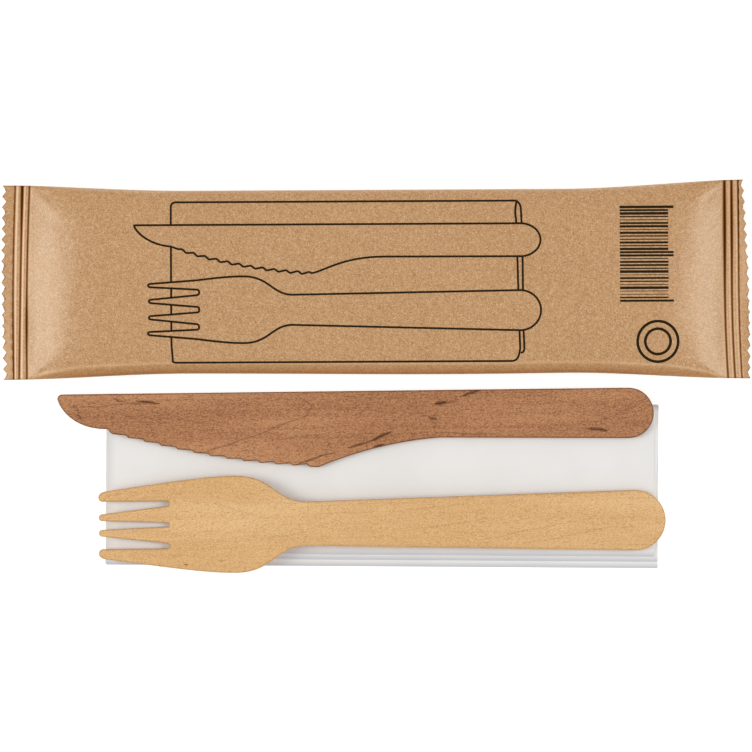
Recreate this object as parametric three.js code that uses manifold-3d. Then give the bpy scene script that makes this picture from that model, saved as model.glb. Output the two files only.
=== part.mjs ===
// Wooden cutlery pack: a sealed kraft paper packet, and beside it the same set laid out, which is
// a folded paper napkin with a serrated wooden knife and a four-tine wooden fork lying on it.
// Millimetres, +Z up. The origin is on the table, under the middle of the whole set.

import * as THREE from 'three';
import { mergeVertices } from 'three/addons/utils/BufferGeometryUtils.js';
import Module from 'manifold-3d';

const wasm = await Module();
wasm.setup();

// ---------------------------------------------------------------- driving dimensions

// The packet lies along X. Its bottom rests on the fin seal, which is folded flat on the back.
const PACKET = {
  length: 207.2,
  width: 50.6, // over the filled middle
  height: 8.6, // from the table to the top of the filled middle
  centre: new THREE.Vector2(-0.1, 26.15),
  turn: THREE.MathUtils.degToRad(0.3),
  boxiness: 3.4, // superellipse exponent of the top of the section: 2 is round, more is squarer
  underCorner: 6.0, // width of the rounded corner under each long side
  shoulder: 22.0, // length over which the paper swells from a seal to full height
  swellPower: 2.9, // how steeply that swelling starts: 1 is an even slope
  flareLeft: 1.6, // how much wider each side gets at the left and right seals
  flareRight: 2.2,
  flareReach: 52.0,
  rightTurn: THREE.MathUtils.degToRad(0.5), // the right seal is not quite square to the packet
};
const END_SEAL = {
  height: 3.4, // of its middle above the table
  thickness: 0.36, // two plies of paper
  depth: 7.8, // from the cut edge to the body
  grooves: 3,
  groovePitch: 2.0,
  grooveWidth: 0.9,
  grooveDepth: 0.45,
  firstGroove: 3.3, // from the cut edge
  teeth: 18,
  toothDepth: 1.1,
};
const FIN_SEAL = { width: 10.0, thickness: 0.3 };

// The napkin is folded like a fan into a strip, and the strip is then folded in half.
const NAPKIN = {
  length: 153.1,
  width: 45.1,
  ply: 0.17,
  centre: new THREE.Vector2(1.7, -30.3),
  turn: THREE.MathUtils.degToRad(-0.37),
  frontInsets: [3.3, 1.9, 0], // the fan's folds on the side away from the packet, from the top down
  backInsets: [0.4, 0.2, 0],
  rawInset: 0.6, // the cut edge that ends the fan on each side
  cutStep: 0.5, // how far the upper half of the strip ends short of the lower half
};

// Knife outline: +X from the tip to the handle's end, the straight back of the blade on y = 0.
const KNIFE = {
  length: 165,
  thickness: 1.7,
  edge: 0.25, // chamfer of the sanded edges
  tip: new THREE.Vector2(-88.18, -5.32), // where the outline's origin lies
  turn: THREE.MathUtils.degToRad(0.685),
  noseRadius: 1.3,
  bellyPulls: [new THREE.Vector2(1.0, -5.0), new THREE.Vector2(5.6, -9.9)],
  bellyEnd: new THREE.Vector2(13.9, -9.73),
  bladeStart: new THREE.Vector2(13.9, -10.88), // the bottoms of the teeth lie on a curve from here
  bladePulls: [new THREE.Vector2(36, -16.3), new THREE.Vector2(46, -19.6)],
  firstTooth: 14.66,
  toothPitch: 4.54,
  teeth: 13,
  toothRun: 0.8, // length and depth of the step between two teeth
  toothStep: 0.75,
  heel: new THREE.Vector2(72.2, -20.95),
  heelRadius: 1.2,
  heelRise: 0.5,
  neckPulls: [new THREE.Vector2(81, -17.4), new THREE.Vector2(93, -13.9)],
  neck: new THREE.Vector2(106, -13.15), // where the handle's straight lower side begins
  handleEndRadius: 6.97,
};

// Fork outline: +X from the tines to the handle's end, symmetrical about y = 0.
const FORK = {
  length: 157.2,
  thickness: 1.7,
  tip: new THREE.Vector2(-77.03, -41.55),
  turn: THREE.MathUtils.degToRad(0.57),
  tineLength: 19.8,
  slotCorner: 0.5,
  centreSlot: { tip: 1.2, root: 0.55 }, // half-widths
  sideSlot: { inner: 3.1, innerRoot: 5.2, outer: 6.55 }, // distances from the middle line
  tineRadius: 0.95,
  innerTineBack: 0.4, // how far the two inner tines stop short of the outer ones
  shoulder: new THREE.Vector2(37.5, 13.4), // widest point of the bowl
  neck: new THREE.Vector2(58, 6.1),
  handleEndRadius: 8.35,
  // Control points of the curves between them: outer tine's tip, bowl's side, neck.
  outerTineStart: new THREE.Vector2(1.4, 6.55),
  outerTinePulls: [new THREE.Vector2(0.2, 6.55), new THREE.Vector2(-0.5, 8.9)],
  outerTineEnd: new THREE.Vector2(2.2, 9.4),
  sidePulls: [new THREE.Vector2(14, 10.95), new THREE.Vector2(29, 13.4)],
  neckPulls: [new THREE.Vector2(48.5, 13.8), new THREE.Vector2(49.5, 6.0)],
  // The blank is pressed into a dish: heights of its underside above the napkin.
  bowlBottom: 28,
  tineLift: 1.0,
  crest: 64,
  crestLift: 4.0,
  handlePower: 1.25, // how late the handle bends down again: 1 is a straight slope
  dishDepth: 2.4,
  dishStart: -14, // the bowl's sides are raised between these two places along the fork
  dishEnd: 60,
};
const REST_GAP = 0.05; // between the napkin and what lies on it

// How many straight steps each curve is made of.
const STEPS = {
  curve: 10,
  shoulder: 7,
  middle: 3,
  top: 18,
  corner: 4,
  nose: 4,
  fold: 10,
  bladeEdge: 60,
  forkWidth: 10,
  forkHead: 18,
  forkHandle: 8,
};
const MERGE_TOLERANCE = 1e-4;
const CUT_MARGIN = 1.0; // how far a cutting block reaches past what it cuts

// ---------------------------------------------------------------- materials

const kraft = new THREE.MeshStandardMaterial({ color: 0xc3986f, roughness: 0.85, metalness: 0 });
const tissue = new THREE.MeshStandardMaterial({ color: 0xeeecea, roughness: 0.95, metalness: 0 });
const darkWood = new THREE.MeshStandardMaterial({ color: 0xaf7d5b, roughness: 0.65, metalness: 0 });
const paleWood = new THREE.MeshStandardMaterial({ color: 0xd8ad7b, roughness: 0.65, metalness: 0 });

// ---------------------------------------------------------------- helpers

function toSolid(geometry) {
  const bare = geometry.clone();
  bare.deleteAttribute('normal');
  bare.deleteAttribute('uv');
  const merged = mergeVertices(bare, MERGE_TOLERANCE);
  return new wasm.Manifold(new wasm.Mesh({
    numProp: 3,
    vertProperties: merged.attributes.position.array,
    triVerts: new Uint32Array(merged.index.array),
  }));
}

function toGeometry(solid) {
  const mesh = solid.getMesh();
  const geometry = new THREE.BufferGeometry();
  geometry.setAttribute('position', new THREE.BufferAttribute(mesh.vertProperties, 3));
  geometry.setIndex(new THREE.BufferAttribute(mesh.triVerts, 1));
  return geometry;
}

function prism(points, depth) {
  return new THREE.ExtrudeGeometry(new THREE.Shape(points), { depth, bevelEnabled: false });
}

// A closed skin over rings of equal length, each ring counter-clockwise seen from the last ring.
function loft(rings) {
  const count = rings[0].length;
  const positions = rings.flat().flatMap((p) => [p.x, p.y, p.z]);
  const faces = [];
  for (let i = 0; i + 1 < rings.length; i += 1) {
    for (let j = 0; j < count; j += 1) {
      const a = i * count + j;
      const b = i * count + ((j + 1) % count);
      faces.push(a, b, a + count, b, b + count, a + count);
    }
  }
  const addCap = (ring, offset, flip) => {
    const middle = positions.length / 3;
    const centre = ring.reduce((sum, p) => sum.add(p), new THREE.Vector3()).divideScalar(count);
    positions.push(centre.x, centre.y, centre.z);
    for (let j = 0; j < count; j += 1) {
      const a = offset + j;
      const b = offset + ((j + 1) % count);
      faces.push(middle, ...(flip ? [b, a] : [a, b]));
    }
  };
  addCap(rings[0], 0, true);
  addCap(rings.at(-1), (rings.length - 1) * count, false);
  const geometry = new THREE.BufferGeometry();
  geometry.setAttribute('position', new THREE.Float32BufferAttribute(positions, 3));
  geometry.setIndex(faces);
  return geometry;
}

function range(from, to, steps) {
  return Array.from({ length: steps + 1 }, (_, i) => THREE.MathUtils.lerp(from, to, i / steps));
}

const { smoothstep } = THREE.MathUtils;

// ---------------------------------------------------------------- packet

// Share of the full height reached at a distance from the seal: steep at first, then level.
function swell(distance) {
  const t = THREE.MathUtils.clamp(distance / PACKET.shoulder, 0, 1);
  return 1 - (1 - t) ** PACKET.swellPower;
}

function crimp(fromEdge) {
  for (let i = 0; i < END_SEAL.grooves; i += 1) {
    const away = Math.abs(fromEdge - END_SEAL.firstGroove - i * END_SEAL.groovePitch);
    if (away < END_SEAL.grooveWidth / 2) {
      return -END_SEAL.grooveDepth * (1 - away / (END_SEAL.grooveWidth / 2));
    }
  }
  return 0;
}

function packetStations() {
  const half = PACKET.length / 2;
  const seal = [0];
  for (let i = 0; i < END_SEAL.grooves; i += 1) {
    const groove = END_SEAL.firstGroove + i * END_SEAL.groovePitch;
    seal.push(groove - END_SEAL.grooveWidth / 2, groove, groove + END_SEAL.grooveWidth / 2);
  }
  const shoulder = range(END_SEAL.depth, END_SEAL.depth + PACKET.shoulder, STEPS.shoulder);
  const left = [...seal, ...shoulder].map((d) => d - half);
  const right = left.map((x) => -x).reverse();
  const middle = range(left.at(-1), right[0], STEPS.middle).slice(1, -1);
  return [...left, ...middle, ...right];
}

// The fin seal is a step in the flat underside, so it is part of every section.
function packetSection(x) {
  const fromEdge = PACKET.length / 2 - Math.abs(x);
  const flare = x < 0 ? PACKET.flareLeft : PACKET.flareRight;
  const halfWidth = PACKET.width / 2 + flare * (1 - smoothstep(fromEdge, 0, PACKET.flareReach));
  const share = swell(fromEdge - END_SEAL.depth);
  const middle = END_SEAL.height + crimp(fromEdge);
  const ply = END_SEAL.thickness / 2;
  const rise = ply + share * (PACKET.height - END_SEAL.height - ply);
  const drop = ply + share * (END_SEAL.height - FIN_SEAL.thickness - ply);
  const point = (y, z) => new THREE.Vector3(x, y, middle + z);

  const top = range(0, Math.PI, STEPS.top).map((angle) => {
    const across = Math.sign(Math.cos(angle)) * Math.abs(Math.cos(angle)) ** (2 / PACKET.boxiness);
    const up = Math.sin(angle) ** (2 / PACKET.boxiness);
    return point(halfWidth * across, rise * up);
  });
  const corner = (side) => range(0, Math.PI / 2, STEPS.corner).slice(1).map((angle) => point(
    side * (halfWidth - PACKET.underCorner * (1 - Math.cos(angle))),
    -drop * Math.sin(angle),
  ));
  const fin = [
    point(-FIN_SEAL.width / 2, -drop),
    point(-FIN_SEAL.width / 2, -drop - FIN_SEAL.thickness),
    point(FIN_SEAL.width / 2, -drop - FIN_SEAL.thickness),
    point(FIN_SEAL.width / 2, -drop),
  ];
  return [...top, ...corner(-1), ...fin, ...corner(1).reverse()];
}

// What the zigzag knife takes off one end: a block whose inner side is a row of teeth.
function zigzagOffcut(side) {
  const half = PACKET.length / 2;
  const reach = PACKET.width / 2 + PACKET.flareRight + CUT_MARGIN;
  const pitch = (PACKET.width + 2 * PACKET.flareRight) / END_SEAL.teeth;
  const points = [];
  const corners = 2 * Math.ceil(reach / pitch);
  for (let i = -corners; i <= corners; i += 1) {
    const depth = i % 2 === 0 ? 0 : END_SEAL.toothDepth;
    points.push(new THREE.Vector2(side * (half - depth), (i * pitch) / 2));
  }
  points.push(new THREE.Vector2(side * (half + CUT_MARGIN), points.at(-1).y));
  points.push(new THREE.Vector2(side * (half + CUT_MARGIN), points[0].y));
  return toSolid(prism(points, PACKET.height));
}

function turnRightEnd(geometry) {
  const position = geometry.attributes.position;
  const start = PACKET.length / 2 - PACKET.flareReach;
  for (let i = 0; i < position.count; i += 1) {
    const x = position.getX(i);
    const share = smoothstep(x, start, PACKET.length / 2 - END_SEAL.depth);
    position.setX(i, x - position.getY(i) * Math.tan(PACKET.rightTurn) * share);
  }
  return geometry;
}

function wrapper() {
  const rings = packetStations().map(packetSection);
  const body = toSolid(loft(rings)).subtract(zigzagOffcut(-1)).subtract(zigzagOffcut(1));
  const mesh = new THREE.Mesh(turnRightEnd(toGeometry(body)), kraft);
  mesh.name = 'wrapper';
  mesh.position.set(PACKET.centre.x, PACKET.centre.y, 0);
  mesh.rotation.z = PACKET.turn;
  return mesh;
}

// ---------------------------------------------------------------- napkin

// One long side of the folded stack, from the bottom up: each fold is a round nose over two plies,
// and the raw edge of the fan is a nose over one.
function foldedSide(insets, rawFirst, side) {
  const half = NAPKIN.width / 2;
  const folds = insets.map((inset) => ({ inset, plies: 2 }));
  const raw = { inset: NAPKIN.rawInset, plies: 1 };
  const upper = rawFirst ? [raw, ...folds.toReversed()] : [...folds.toReversed(), raw];
  const stack = [...upper.toReversed(), ...upper];
  const points = [];
  let z = 0;
  for (const { inset, plies } of stack) {
    const radius = (plies * NAPKIN.ply) / 2;
    for (const angle of range(-Math.PI / 2, Math.PI / 2, STEPS.nose)) {
      const out = half - inset - radius * (1 - Math.cos(angle));
      points.push(new THREE.Vector2(side * out, z + radius * (1 + Math.sin(angle))));
    }
    z += 2 * radius;
  }
  return points;
}

const PLIES = 2 * (2 * NAPKIN.frontInsets.length + 1);
const NAPKIN_HEIGHT = PLIES * NAPKIN.ply;

// The strip folded in half, seen from its long side: round at the fold, two cut ends at the left.
function halvedStrip() {
  const half = NAPKIN.length / 2;
  const radius = NAPKIN_HEIGHT / 2;
  const fold = range(-Math.PI / 2, Math.PI / 2, STEPS.fold).map((angle) => new THREE.Vector2(
    half - radius * (1 - Math.cos(angle)),
    radius * (1 + Math.sin(angle)),
  ));
  const cutEnds = [
    new THREE.Vector2(-half + NAPKIN.cutStep, NAPKIN_HEIGHT),
    new THREE.Vector2(-half + NAPKIN.cutStep, radius),
    new THREE.Vector2(-half, radius),
    new THREE.Vector2(-half, 0),
  ];
  return [...fold, ...cutEnds];
}

function napkin() {
  const nearSide = foldedSide(NAPKIN.frontInsets, true, -1);
  const farSide = foldedSide(NAPKIN.backInsets, false, 1);
  const fan = prism([...farSide, ...nearSide.reverse()], NAPKIN.length);
  fan.applyMatrix4(new THREE.Matrix4().makeBasis(
    new THREE.Vector3(0, 1, 0),
    new THREE.Vector3(0, 0, 1),
    new THREE.Vector3(1, 0, 0),
  ));
  fan.translate(-NAPKIN.length / 2, 0, 0);
  const strip = prism(halvedStrip(), NAPKIN.width);
  strip.rotateX(Math.PI / 2);
  strip.translate(0, NAPKIN.width / 2, 0);
  const mesh = new THREE.Mesh(toGeometry(toSolid(fan).intersect(toSolid(strip))), tissue);
  mesh.name = 'napkin';
  mesh.position.set(NAPKIN.centre.x, NAPKIN.centre.y, 0);
  mesh.rotation.z = NAPKIN.turn;
  return mesh;
}

// ---------------------------------------------------------------- knife

function curveTo(path, pulls, end) {
  path.bezierCurveTo(pulls[0].x, pulls[0].y, pulls[1].x, pulls[1].y, end.x, end.y);
}

// Height at x of the curve that the bottoms of the teeth lie on.
function edgeHeightAt(x) {
  const edge = new THREE.CubicBezierCurve(KNIFE.bladeStart, ...KNIFE.bladePulls, KNIFE.heel);
  const points = edge.getPoints(STEPS.bladeEdge);
  const next = points.findIndex((p) => p.x >= x);
  const [a, b] = [points[next - 1], points[next]];
  return THREE.MathUtils.mapLinear(x, a.x, b.x, a.y, b.y);
}

function knifeOutline() {
  const outline = new THREE.Path();
  outline.moveTo(KNIFE.noseRadius, 0);
  outline.absarc(KNIFE.noseRadius, -KNIFE.noseRadius, KNIFE.noseRadius, Math.PI / 2, Math.PI, false);
  curveTo(outline, KNIFE.bellyPulls, KNIFE.bellyEnd);
  for (let i = 0; i < KNIFE.teeth; i += 1) {
    const x = KNIFE.firstTooth + i * KNIFE.toothPitch;
    const low = edgeHeightAt(x + KNIFE.toothRun / 2);
    outline.lineTo(x - KNIFE.toothRun / 2, low + KNIFE.toothStep);
    outline.lineTo(x + KNIFE.toothRun / 2, low);
  }
  const { x: heelX, y: heelY } = KNIFE.heel;
  outline.lineTo(heelX - KNIFE.heelRadius, heelY);
  outline.quadraticCurveTo(heelX, heelY, heelX + KNIFE.heelRadius, heelY + KNIFE.heelRise);
  curveTo(outline, KNIFE.neckPulls, KNIFE.neck);
  const endX = KNIFE.length - KNIFE.handleEndRadius;
  outline.lineTo(endX, -2 * KNIFE.handleEndRadius);
  outline.absarc(endX, -KNIFE.handleEndRadius, KNIFE.handleEndRadius, -Math.PI / 2, Math.PI / 2, false);
  return outline.getPoints(STEPS.curve);
}

function knife() {
  const geometry = new THREE.ExtrudeGeometry(new THREE.Shape(knifeOutline()), {
    depth: KNIFE.thickness - 2 * KNIFE.edge,
    bevelThickness: KNIFE.edge,
    bevelSize: KNIFE.edge,
    bevelOffset: -KNIFE.edge,
    bevelSegments: 1,
  });
  const mesh = new THREE.Mesh(toGeometry(toSolid(geometry)), darkWood);
  mesh.name = 'knife';
  mesh.position.set(KNIFE.tip.x, KNIFE.tip.y, NAPKIN_HEIGHT + REST_GAP + KNIFE.edge);
  mesh.rotation.z = KNIFE.turn;
  return mesh;
}

// ---------------------------------------------------------------- fork

// Right half of the outline, from the middle slot round to the middle of the handle's end.
function halfForkOutline() {
  const half = new THREE.Path();
  const { centreSlot, sideSlot, tineRadius, slotCorner, tineLength } = FORK;
  const innerTip = FORK.innerTineBack + tineRadius;
  half.moveTo(tineLength, 0);
  half.lineTo(tineLength, centreSlot.root - slotCorner / 2);
  half.quadraticCurveTo(tineLength, centreSlot.root, tineLength - slotCorner, centreSlot.root);
  half.lineTo(innerTip, centreSlot.tip);
  const innerTineMiddle = (centreSlot.tip + sideSlot.inner) / 2;
  half.absellipse(innerTip, innerTineMiddle, tineRadius, sideSlot.inner - innerTineMiddle,
    -Math.PI / 2, Math.PI / 2, true);
  half.lineTo(tineLength - slotCorner, sideSlot.innerRoot);
  half.quadraticCurveTo(tineLength, sideSlot.innerRoot, tineLength, sideSlot.innerRoot + slotCorner);
  half.lineTo(tineLength, sideSlot.outer - slotCorner);
  half.quadraticCurveTo(tineLength, sideSlot.outer, tineLength - slotCorner, sideSlot.outer);
  half.lineTo(FORK.outerTineStart.x, FORK.outerTineStart.y);
  curveTo(half, FORK.outerTinePulls, FORK.outerTineEnd);
  curveTo(half, FORK.sidePulls, FORK.shoulder);
  curveTo(half, FORK.neckPulls, FORK.neck);
  const endX = FORK.length - FORK.handleEndRadius;
  half.lineTo(endX, FORK.handleEndRadius);
  half.absarc(endX, 0, FORK.handleEndRadius, Math.PI / 2, 0, true);
  return half.getPoints(STEPS.curve);
}

function forkOutline() {
  const half = halfForkOutline();
  const mirrored = half.slice(1, -1).reverse().map((p) => new THREE.Vector2(p.x, -p.y));
  return [...half, ...mirrored];
}

// Height of the blank's underside: tines turn up, the bowl rests, the neck arches, the handle
// comes down again to its end, and the bowl's sides are raised.
function forkUnderside(x, y) {
  const { bowlBottom, tineLift, crest, crestLift, handlePower, dishDepth, length } = FORK;
  const tines = tineLift * (Math.max(bowlBottom - x, 0) / bowlBottom) ** 2;
  const neck = crestLift * smoothstep(x, bowlBottom, crest);
  const handle = 1 - (Math.max(x - crest, 0) / (length - crest)) ** handlePower;
  const dish = smoothstep(x, FORK.dishStart, bowlBottom) * (1 - smoothstep(x, bowlBottom, FORK.dishEnd));
  return tines + neck * handle + dishDepth * dish * (y / FORK.shoulder.y) ** 2;
}

function pressedSheet() {
  const reach = FORK.shoulder.y + 2 * CUT_MARGIN;
  const across = range(-reach, reach, STEPS.forkWidth);
  const head = range(-2 * CUT_MARGIN, FORK.crest, STEPS.forkHead);
  const handle = range(FORK.crest, FORK.length + 2 * CUT_MARGIN, STEPS.forkHandle).slice(1);
  const ringAt = (x) => [
    ...across.map((y) => new THREE.Vector3(x, y, forkUnderside(x, y))),
    ...across.toReversed().map((y) => new THREE.Vector3(x, y, forkUnderside(x, y) + FORK.thickness)),
  ];
  return loft([...head, ...handle].map(ringAt));
}

function fork() {
  const stock = 20;
  const blank = prism(forkOutline(), stock);
  blank.translate(0, 0, -stock / 2);
  const mesh = new THREE.Mesh(toGeometry(toSolid(blank).intersect(toSolid(pressedSheet()))), paleWood);
  mesh.name = 'fork';
  mesh.position.set(FORK.tip.x, FORK.tip.y, NAPKIN_HEIGHT + REST_GAP);
  mesh.rotation.z = FORK.turn;
  return mesh;
}

// ---------------------------------------------------------------- the set

const pack = new THREE.Group();
pack.add(wrapper(), napkin(), knife(), fork());
const middle = new THREE.Box3().setFromObject(pack, true).getCenter(new THREE.Vector3());
pack.position.set(-middle.x, -middle.y, 0);

export default pack;
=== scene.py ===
"""Wooden cutlery pack: a sealed kraft paper packet, and beside it the same set laid out, which is a
folded paper napkin with a serrated wooden knife and a four-tine wooden fork lying on it.

Lengths are millimetres in each piece's own frame, and MM turns them into metres when a piece is
laid where its CAD solid lies. Every mesh keeps its own-frame place, in millimetres, in an attribute
that its material reads, so the grain and the fibres follow the piece."""

import math
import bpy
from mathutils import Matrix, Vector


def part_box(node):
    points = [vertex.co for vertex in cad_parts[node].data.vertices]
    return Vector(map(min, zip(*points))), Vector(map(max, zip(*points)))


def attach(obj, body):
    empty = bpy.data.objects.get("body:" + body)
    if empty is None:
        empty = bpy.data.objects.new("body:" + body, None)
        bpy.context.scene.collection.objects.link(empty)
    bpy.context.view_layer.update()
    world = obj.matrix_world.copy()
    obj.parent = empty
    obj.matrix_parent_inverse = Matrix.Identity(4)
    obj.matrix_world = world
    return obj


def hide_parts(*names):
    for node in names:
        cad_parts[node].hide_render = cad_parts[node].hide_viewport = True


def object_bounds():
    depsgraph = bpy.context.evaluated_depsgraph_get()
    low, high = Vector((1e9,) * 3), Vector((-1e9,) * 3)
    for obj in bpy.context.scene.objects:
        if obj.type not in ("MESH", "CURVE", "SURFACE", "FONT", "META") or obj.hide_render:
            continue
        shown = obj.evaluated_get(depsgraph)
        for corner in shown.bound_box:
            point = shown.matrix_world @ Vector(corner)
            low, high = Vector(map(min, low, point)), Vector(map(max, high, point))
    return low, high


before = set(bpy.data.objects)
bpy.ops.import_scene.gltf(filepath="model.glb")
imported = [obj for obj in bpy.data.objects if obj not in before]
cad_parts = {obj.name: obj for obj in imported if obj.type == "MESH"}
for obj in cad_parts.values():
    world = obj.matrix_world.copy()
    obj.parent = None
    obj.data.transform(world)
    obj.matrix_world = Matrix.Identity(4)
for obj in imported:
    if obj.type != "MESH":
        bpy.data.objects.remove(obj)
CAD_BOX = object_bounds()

from types import SimpleNamespace as Sizes

import bpy
import numpy as np
from mathutils import Matrix, Vector, geometry, noise

# ---------------------------------------------------------------- driving dimensions

MM = 0.001
PLACE = "place"  # attribute: where a vertex lies on its own piece, in millimetres
SHADE_AND_BROWNING = "groove"  # attribute: 1 at the bottom of a crimp groove, 0 elsewhere; it carries the grooves' crushed browning with painted shade, and painted shade at the cut edge and on the long sides
PAINTED_HIGHLIGHT = "painted_highlight"  # attribute: painted highlight beside the crimp grooves, across part of each tab and along the near crease, 1 where it is brightest
RIM = "rim"  # attribute: 1 on the cut side of a board, 0 on its faces; the wood is painted with shade there
FOLD_SHADE = "fold"  # attribute: painted shade, 1 on a fold of the napkin, 0 on its panels

# The packet lies along X with its origin in the middle of the seals' mid-plane.
PACKET = Sizes(
    length=207.2,
    width=50.6,
    height=8.6,
    seal_height=3.4,
    turn=math.radians(0.3),
    paper=0.085,
    ply_pitch=0.12,
    boxiness=3.4,
    seal_boxiness=6.0,
    under_corner=6.0,
    shoulder=22.0,
    swell_power=2.9,
    flare_left=1.6,
    flare_right=2.2,
    flare_reach=52.0,
    bevel=2.9,
    bevel_foot=0.34,  # share of the arch's height where the bevel meets the side
    far_inset=0.15,
    near_bulge=0.6,
    bulge_middle=20.0,
    bulge_reach=50.0,
    # Painted light on the long sides: a highlight along the near crease, and shade over the near bevel,
    # deeper at its foot, and along the far edge.
    crease_radius=0.6,
    crease_polish=0.45,
    near_stain=0.17,
    foot_stain=0.18,
    far_stain=0.15,
    least_share=0.02,  # keeps the bevel from closing up at the flat seals
    filled_gain=3.0,  # the packet counts as filled from a third of its full height
    uneven_above=2.0,  # height over the seals' mid-plane from which the unevenness is full
    pucker=0.2,
    pucker_reach=6.5,
    pucker_rise=2.0,
    pucker_folds=9,
)
# Unevenness of the filled paper: wave lengths along and across, layer of the noise, height.
SWELLS = ((24.0, 15.0, 0.3, 0.22), (7.5, 6.5, 4.1, 0.13))
CRINKLE = (3.1, 2.7, 8.6, 0.05)
FIN = Sizes(half_width=5.0, wrap=0.9, clearance=0.2)
SEAL = Sizes(
    grooves=(3.4, 5.4, 7.4),
    depth=7.9,
    blend=15.0,  # how far past the seal its rows are straight again
    crimp_height=0.46,
    groove_sharpness=2.2,
    tab_height=0.25,
    lift_fade=4.0,  # how far past the seal its lift fades out
    bow=0.35,
    bow_length=9.0,
    bow_phase={"left": 1.3, "right": 0.2},
    teeth=18,
    # The crimp marks: crushed browning with painted shade in the grooves, painted shade at the cut edge, and
    # painted highlights beside the grooves and across the tab.
    groove_radius=0.8,
    cut_radius=0.35,
    ridge_radius=0.42,
    ridge_offset=0.75,
    cut_stain=0.55,
    press=0.74,
    presses={  # each groove's strongest crushed browning with painted shade, from the cut edge inwards: its level, its reach and its gain
        "left": ((-0.7, 0.5, 0.14), (0.95, 0.4, 0.28), (-0.42, 0.25, 0.18)),
        "right": ((0.9, 0.6, 0.24), (0.6, 0.6, 0.24), (0.6, 0.7, 0.32)),
    },
    # gains of the painted highlights inside and outside each groove
    inner_ridges={"left": (1.0, 1.0, 0.9), "right": (0.4, 0.4, 0.9)},
    outer_ridges={"left": 0.0, "right": 0.25},
    tab_polish=0.32,
    tab_margin=1.0,  # the tab's painted highlight stops this far from the first groove
    polished={"left": (-0.8, 0.7), "right": (0.1, 0.35)},  # level and reach of the tab's painted highlight
)
# Where each seal's lines lie, as distances from the packet's end: on the middle line, then what the level
# and its square add. A level runs from -1 on the near side to 1 on the far side.
SEAL_LINES = {
    "left": Sizes(
        cut=(0.0, 0.0, 0.4),
        teeth_depth=1.2,
        grooves=((3.2, 0.36, 0.36), (5.3, 0.6, 0.0), (7.05, 0.5, 0.34)),
        near_bow=0.0,
    ),
    "right": Sizes(
        cut=(0.3, 0.9, 0.6),
        teeth_depth=0.85,
        grooves=((3.1, 0.0, 0.0), (5.05, 0.0, 0.0), (7.0, 0.0, 0.0)),
        near_bow=-0.8,
    ),
}
SEAL_ROW_STEP = 0.2
SHOULDER_ROW_STEP = 0.65
BODY_ROW_STEP = 1.9
TOP_COLUMNS = 6 * SEAL.teeth
UNDER_COLUMNS = 16
CORNER_COLUMNS = 6
FIN_COLUMNS = 8
FIN_ROOT_STEPS = 4
FIN_WRAP_STEPS = 6
ARCH_STEPS = 180

NAPKIN = Sizes(
    length=153.1,
    width=45.1,
    paper=0.12,
    ply_pitch=0.17,
    turn=math.radians(-0.37),
    front_insets=(0.0, 1.9, 3.3),
    back_insets=(0.0, 0.2, 0.4),
    raw_inset=0.6,
    # how far into a panel the painted shade of its fold reaches
    fold_width=1.2,
    cut_step=0.3,  # how far the upper ply's cut end lies inside the lower ply's
    stagger=0.12,  # how far the cut ends step inwards for each millimetre of height
    ragged=0.15,
    ragged_length=2.3,
    ragged_layer=7.7,
    end_shift=1.2,  # how much shorter the top panel's folded end is
    sag=0.035,
    sag_waves=(40.0, 14.0),
    sag_layer=2.2,
    panel_steps=12,
    nose_steps=4,
    length_steps=44,
)

KNIFE = Sizes(
    length=165.0,
    thickness=1.7,
    edge_radius=0.28,
    turn=math.radians(0.685),
    nose_radius=1.3,
    belly=((1.0, -5.0), (5.6, -9.9), (13.9, -9.73)),
    blade=((13.9, -10.88), (36.0, -16.3), (46.0, -19.6), (72.2, -20.95)),
    first_tooth=14.66,
    tooth_pitch=4.54,
    teeth=13,
    tooth_run=0.8,
    tooth_step=0.75,
    tooth_corner=0.3,
    heel_radius=1.2,
    heel_rise=0.5,
    neck=((81.0, -17.4), (93.0, -13.9), (106.0, -13.15)),
    end_radius=6.97,
    grid_step=2.5,
    nose_steps=8,
    blade_steps=60,
    corner_steps=3,
    end_steps=40,
)

FORK = Sizes(
    length=157.2,
    thickness=1.7,
    edge_radius=0.3,
    turn=math.radians(0.57),
    tine_length=19.8,
    slot_corner=0.5,
    centre_slot_tip=1.2,
    centre_slot_root=0.55,
    side_slot_inner=3.1,
    side_slot_inner_root=5.2,
    side_slot_outer=6.55,
    tine_radius=0.95,
    inner_tine_back=0.4,
    outer_tine_start=1.4,
    outer_tip=((0.2, 6.55), (-0.5, 8.9), (2.2, 9.4)),
    side=((14.0, 10.95), (29.0, 13.4), (37.5, 13.4)),
    shoulder=((48.5, 13.8), (49.5, 6.0), (58.0, 6.1)),
    end_radius=8.35,
    half_width=13.4,
    bowl_bottom=28.0,
    tine_lift=1.0,
    crest=64.0,
    crest_lift=4.0,
    handle_power=1.25,
    dish_start=-14.0,
    dish_end=60.0,
    dish_depth=2.4,
    grid_step=1.1,
    corner_steps=4,
    tine_steps=12,
)
CURVE_STEPS = 24
EDGE_STEPS = 3
EDGE_SUPPORT = 0.12
MITRE_LIMIT = 0.35  # keeps a sharp corner's mitre short
CLEAR_OF_RIM = 0.4  # share of the grid's step that its points keep clear of the rim
SAME_POINT = 1e-6  # two points of a board nearer than this are one
TINY = 1e-12  # the least that a length is taken as, where it is divided by

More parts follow.
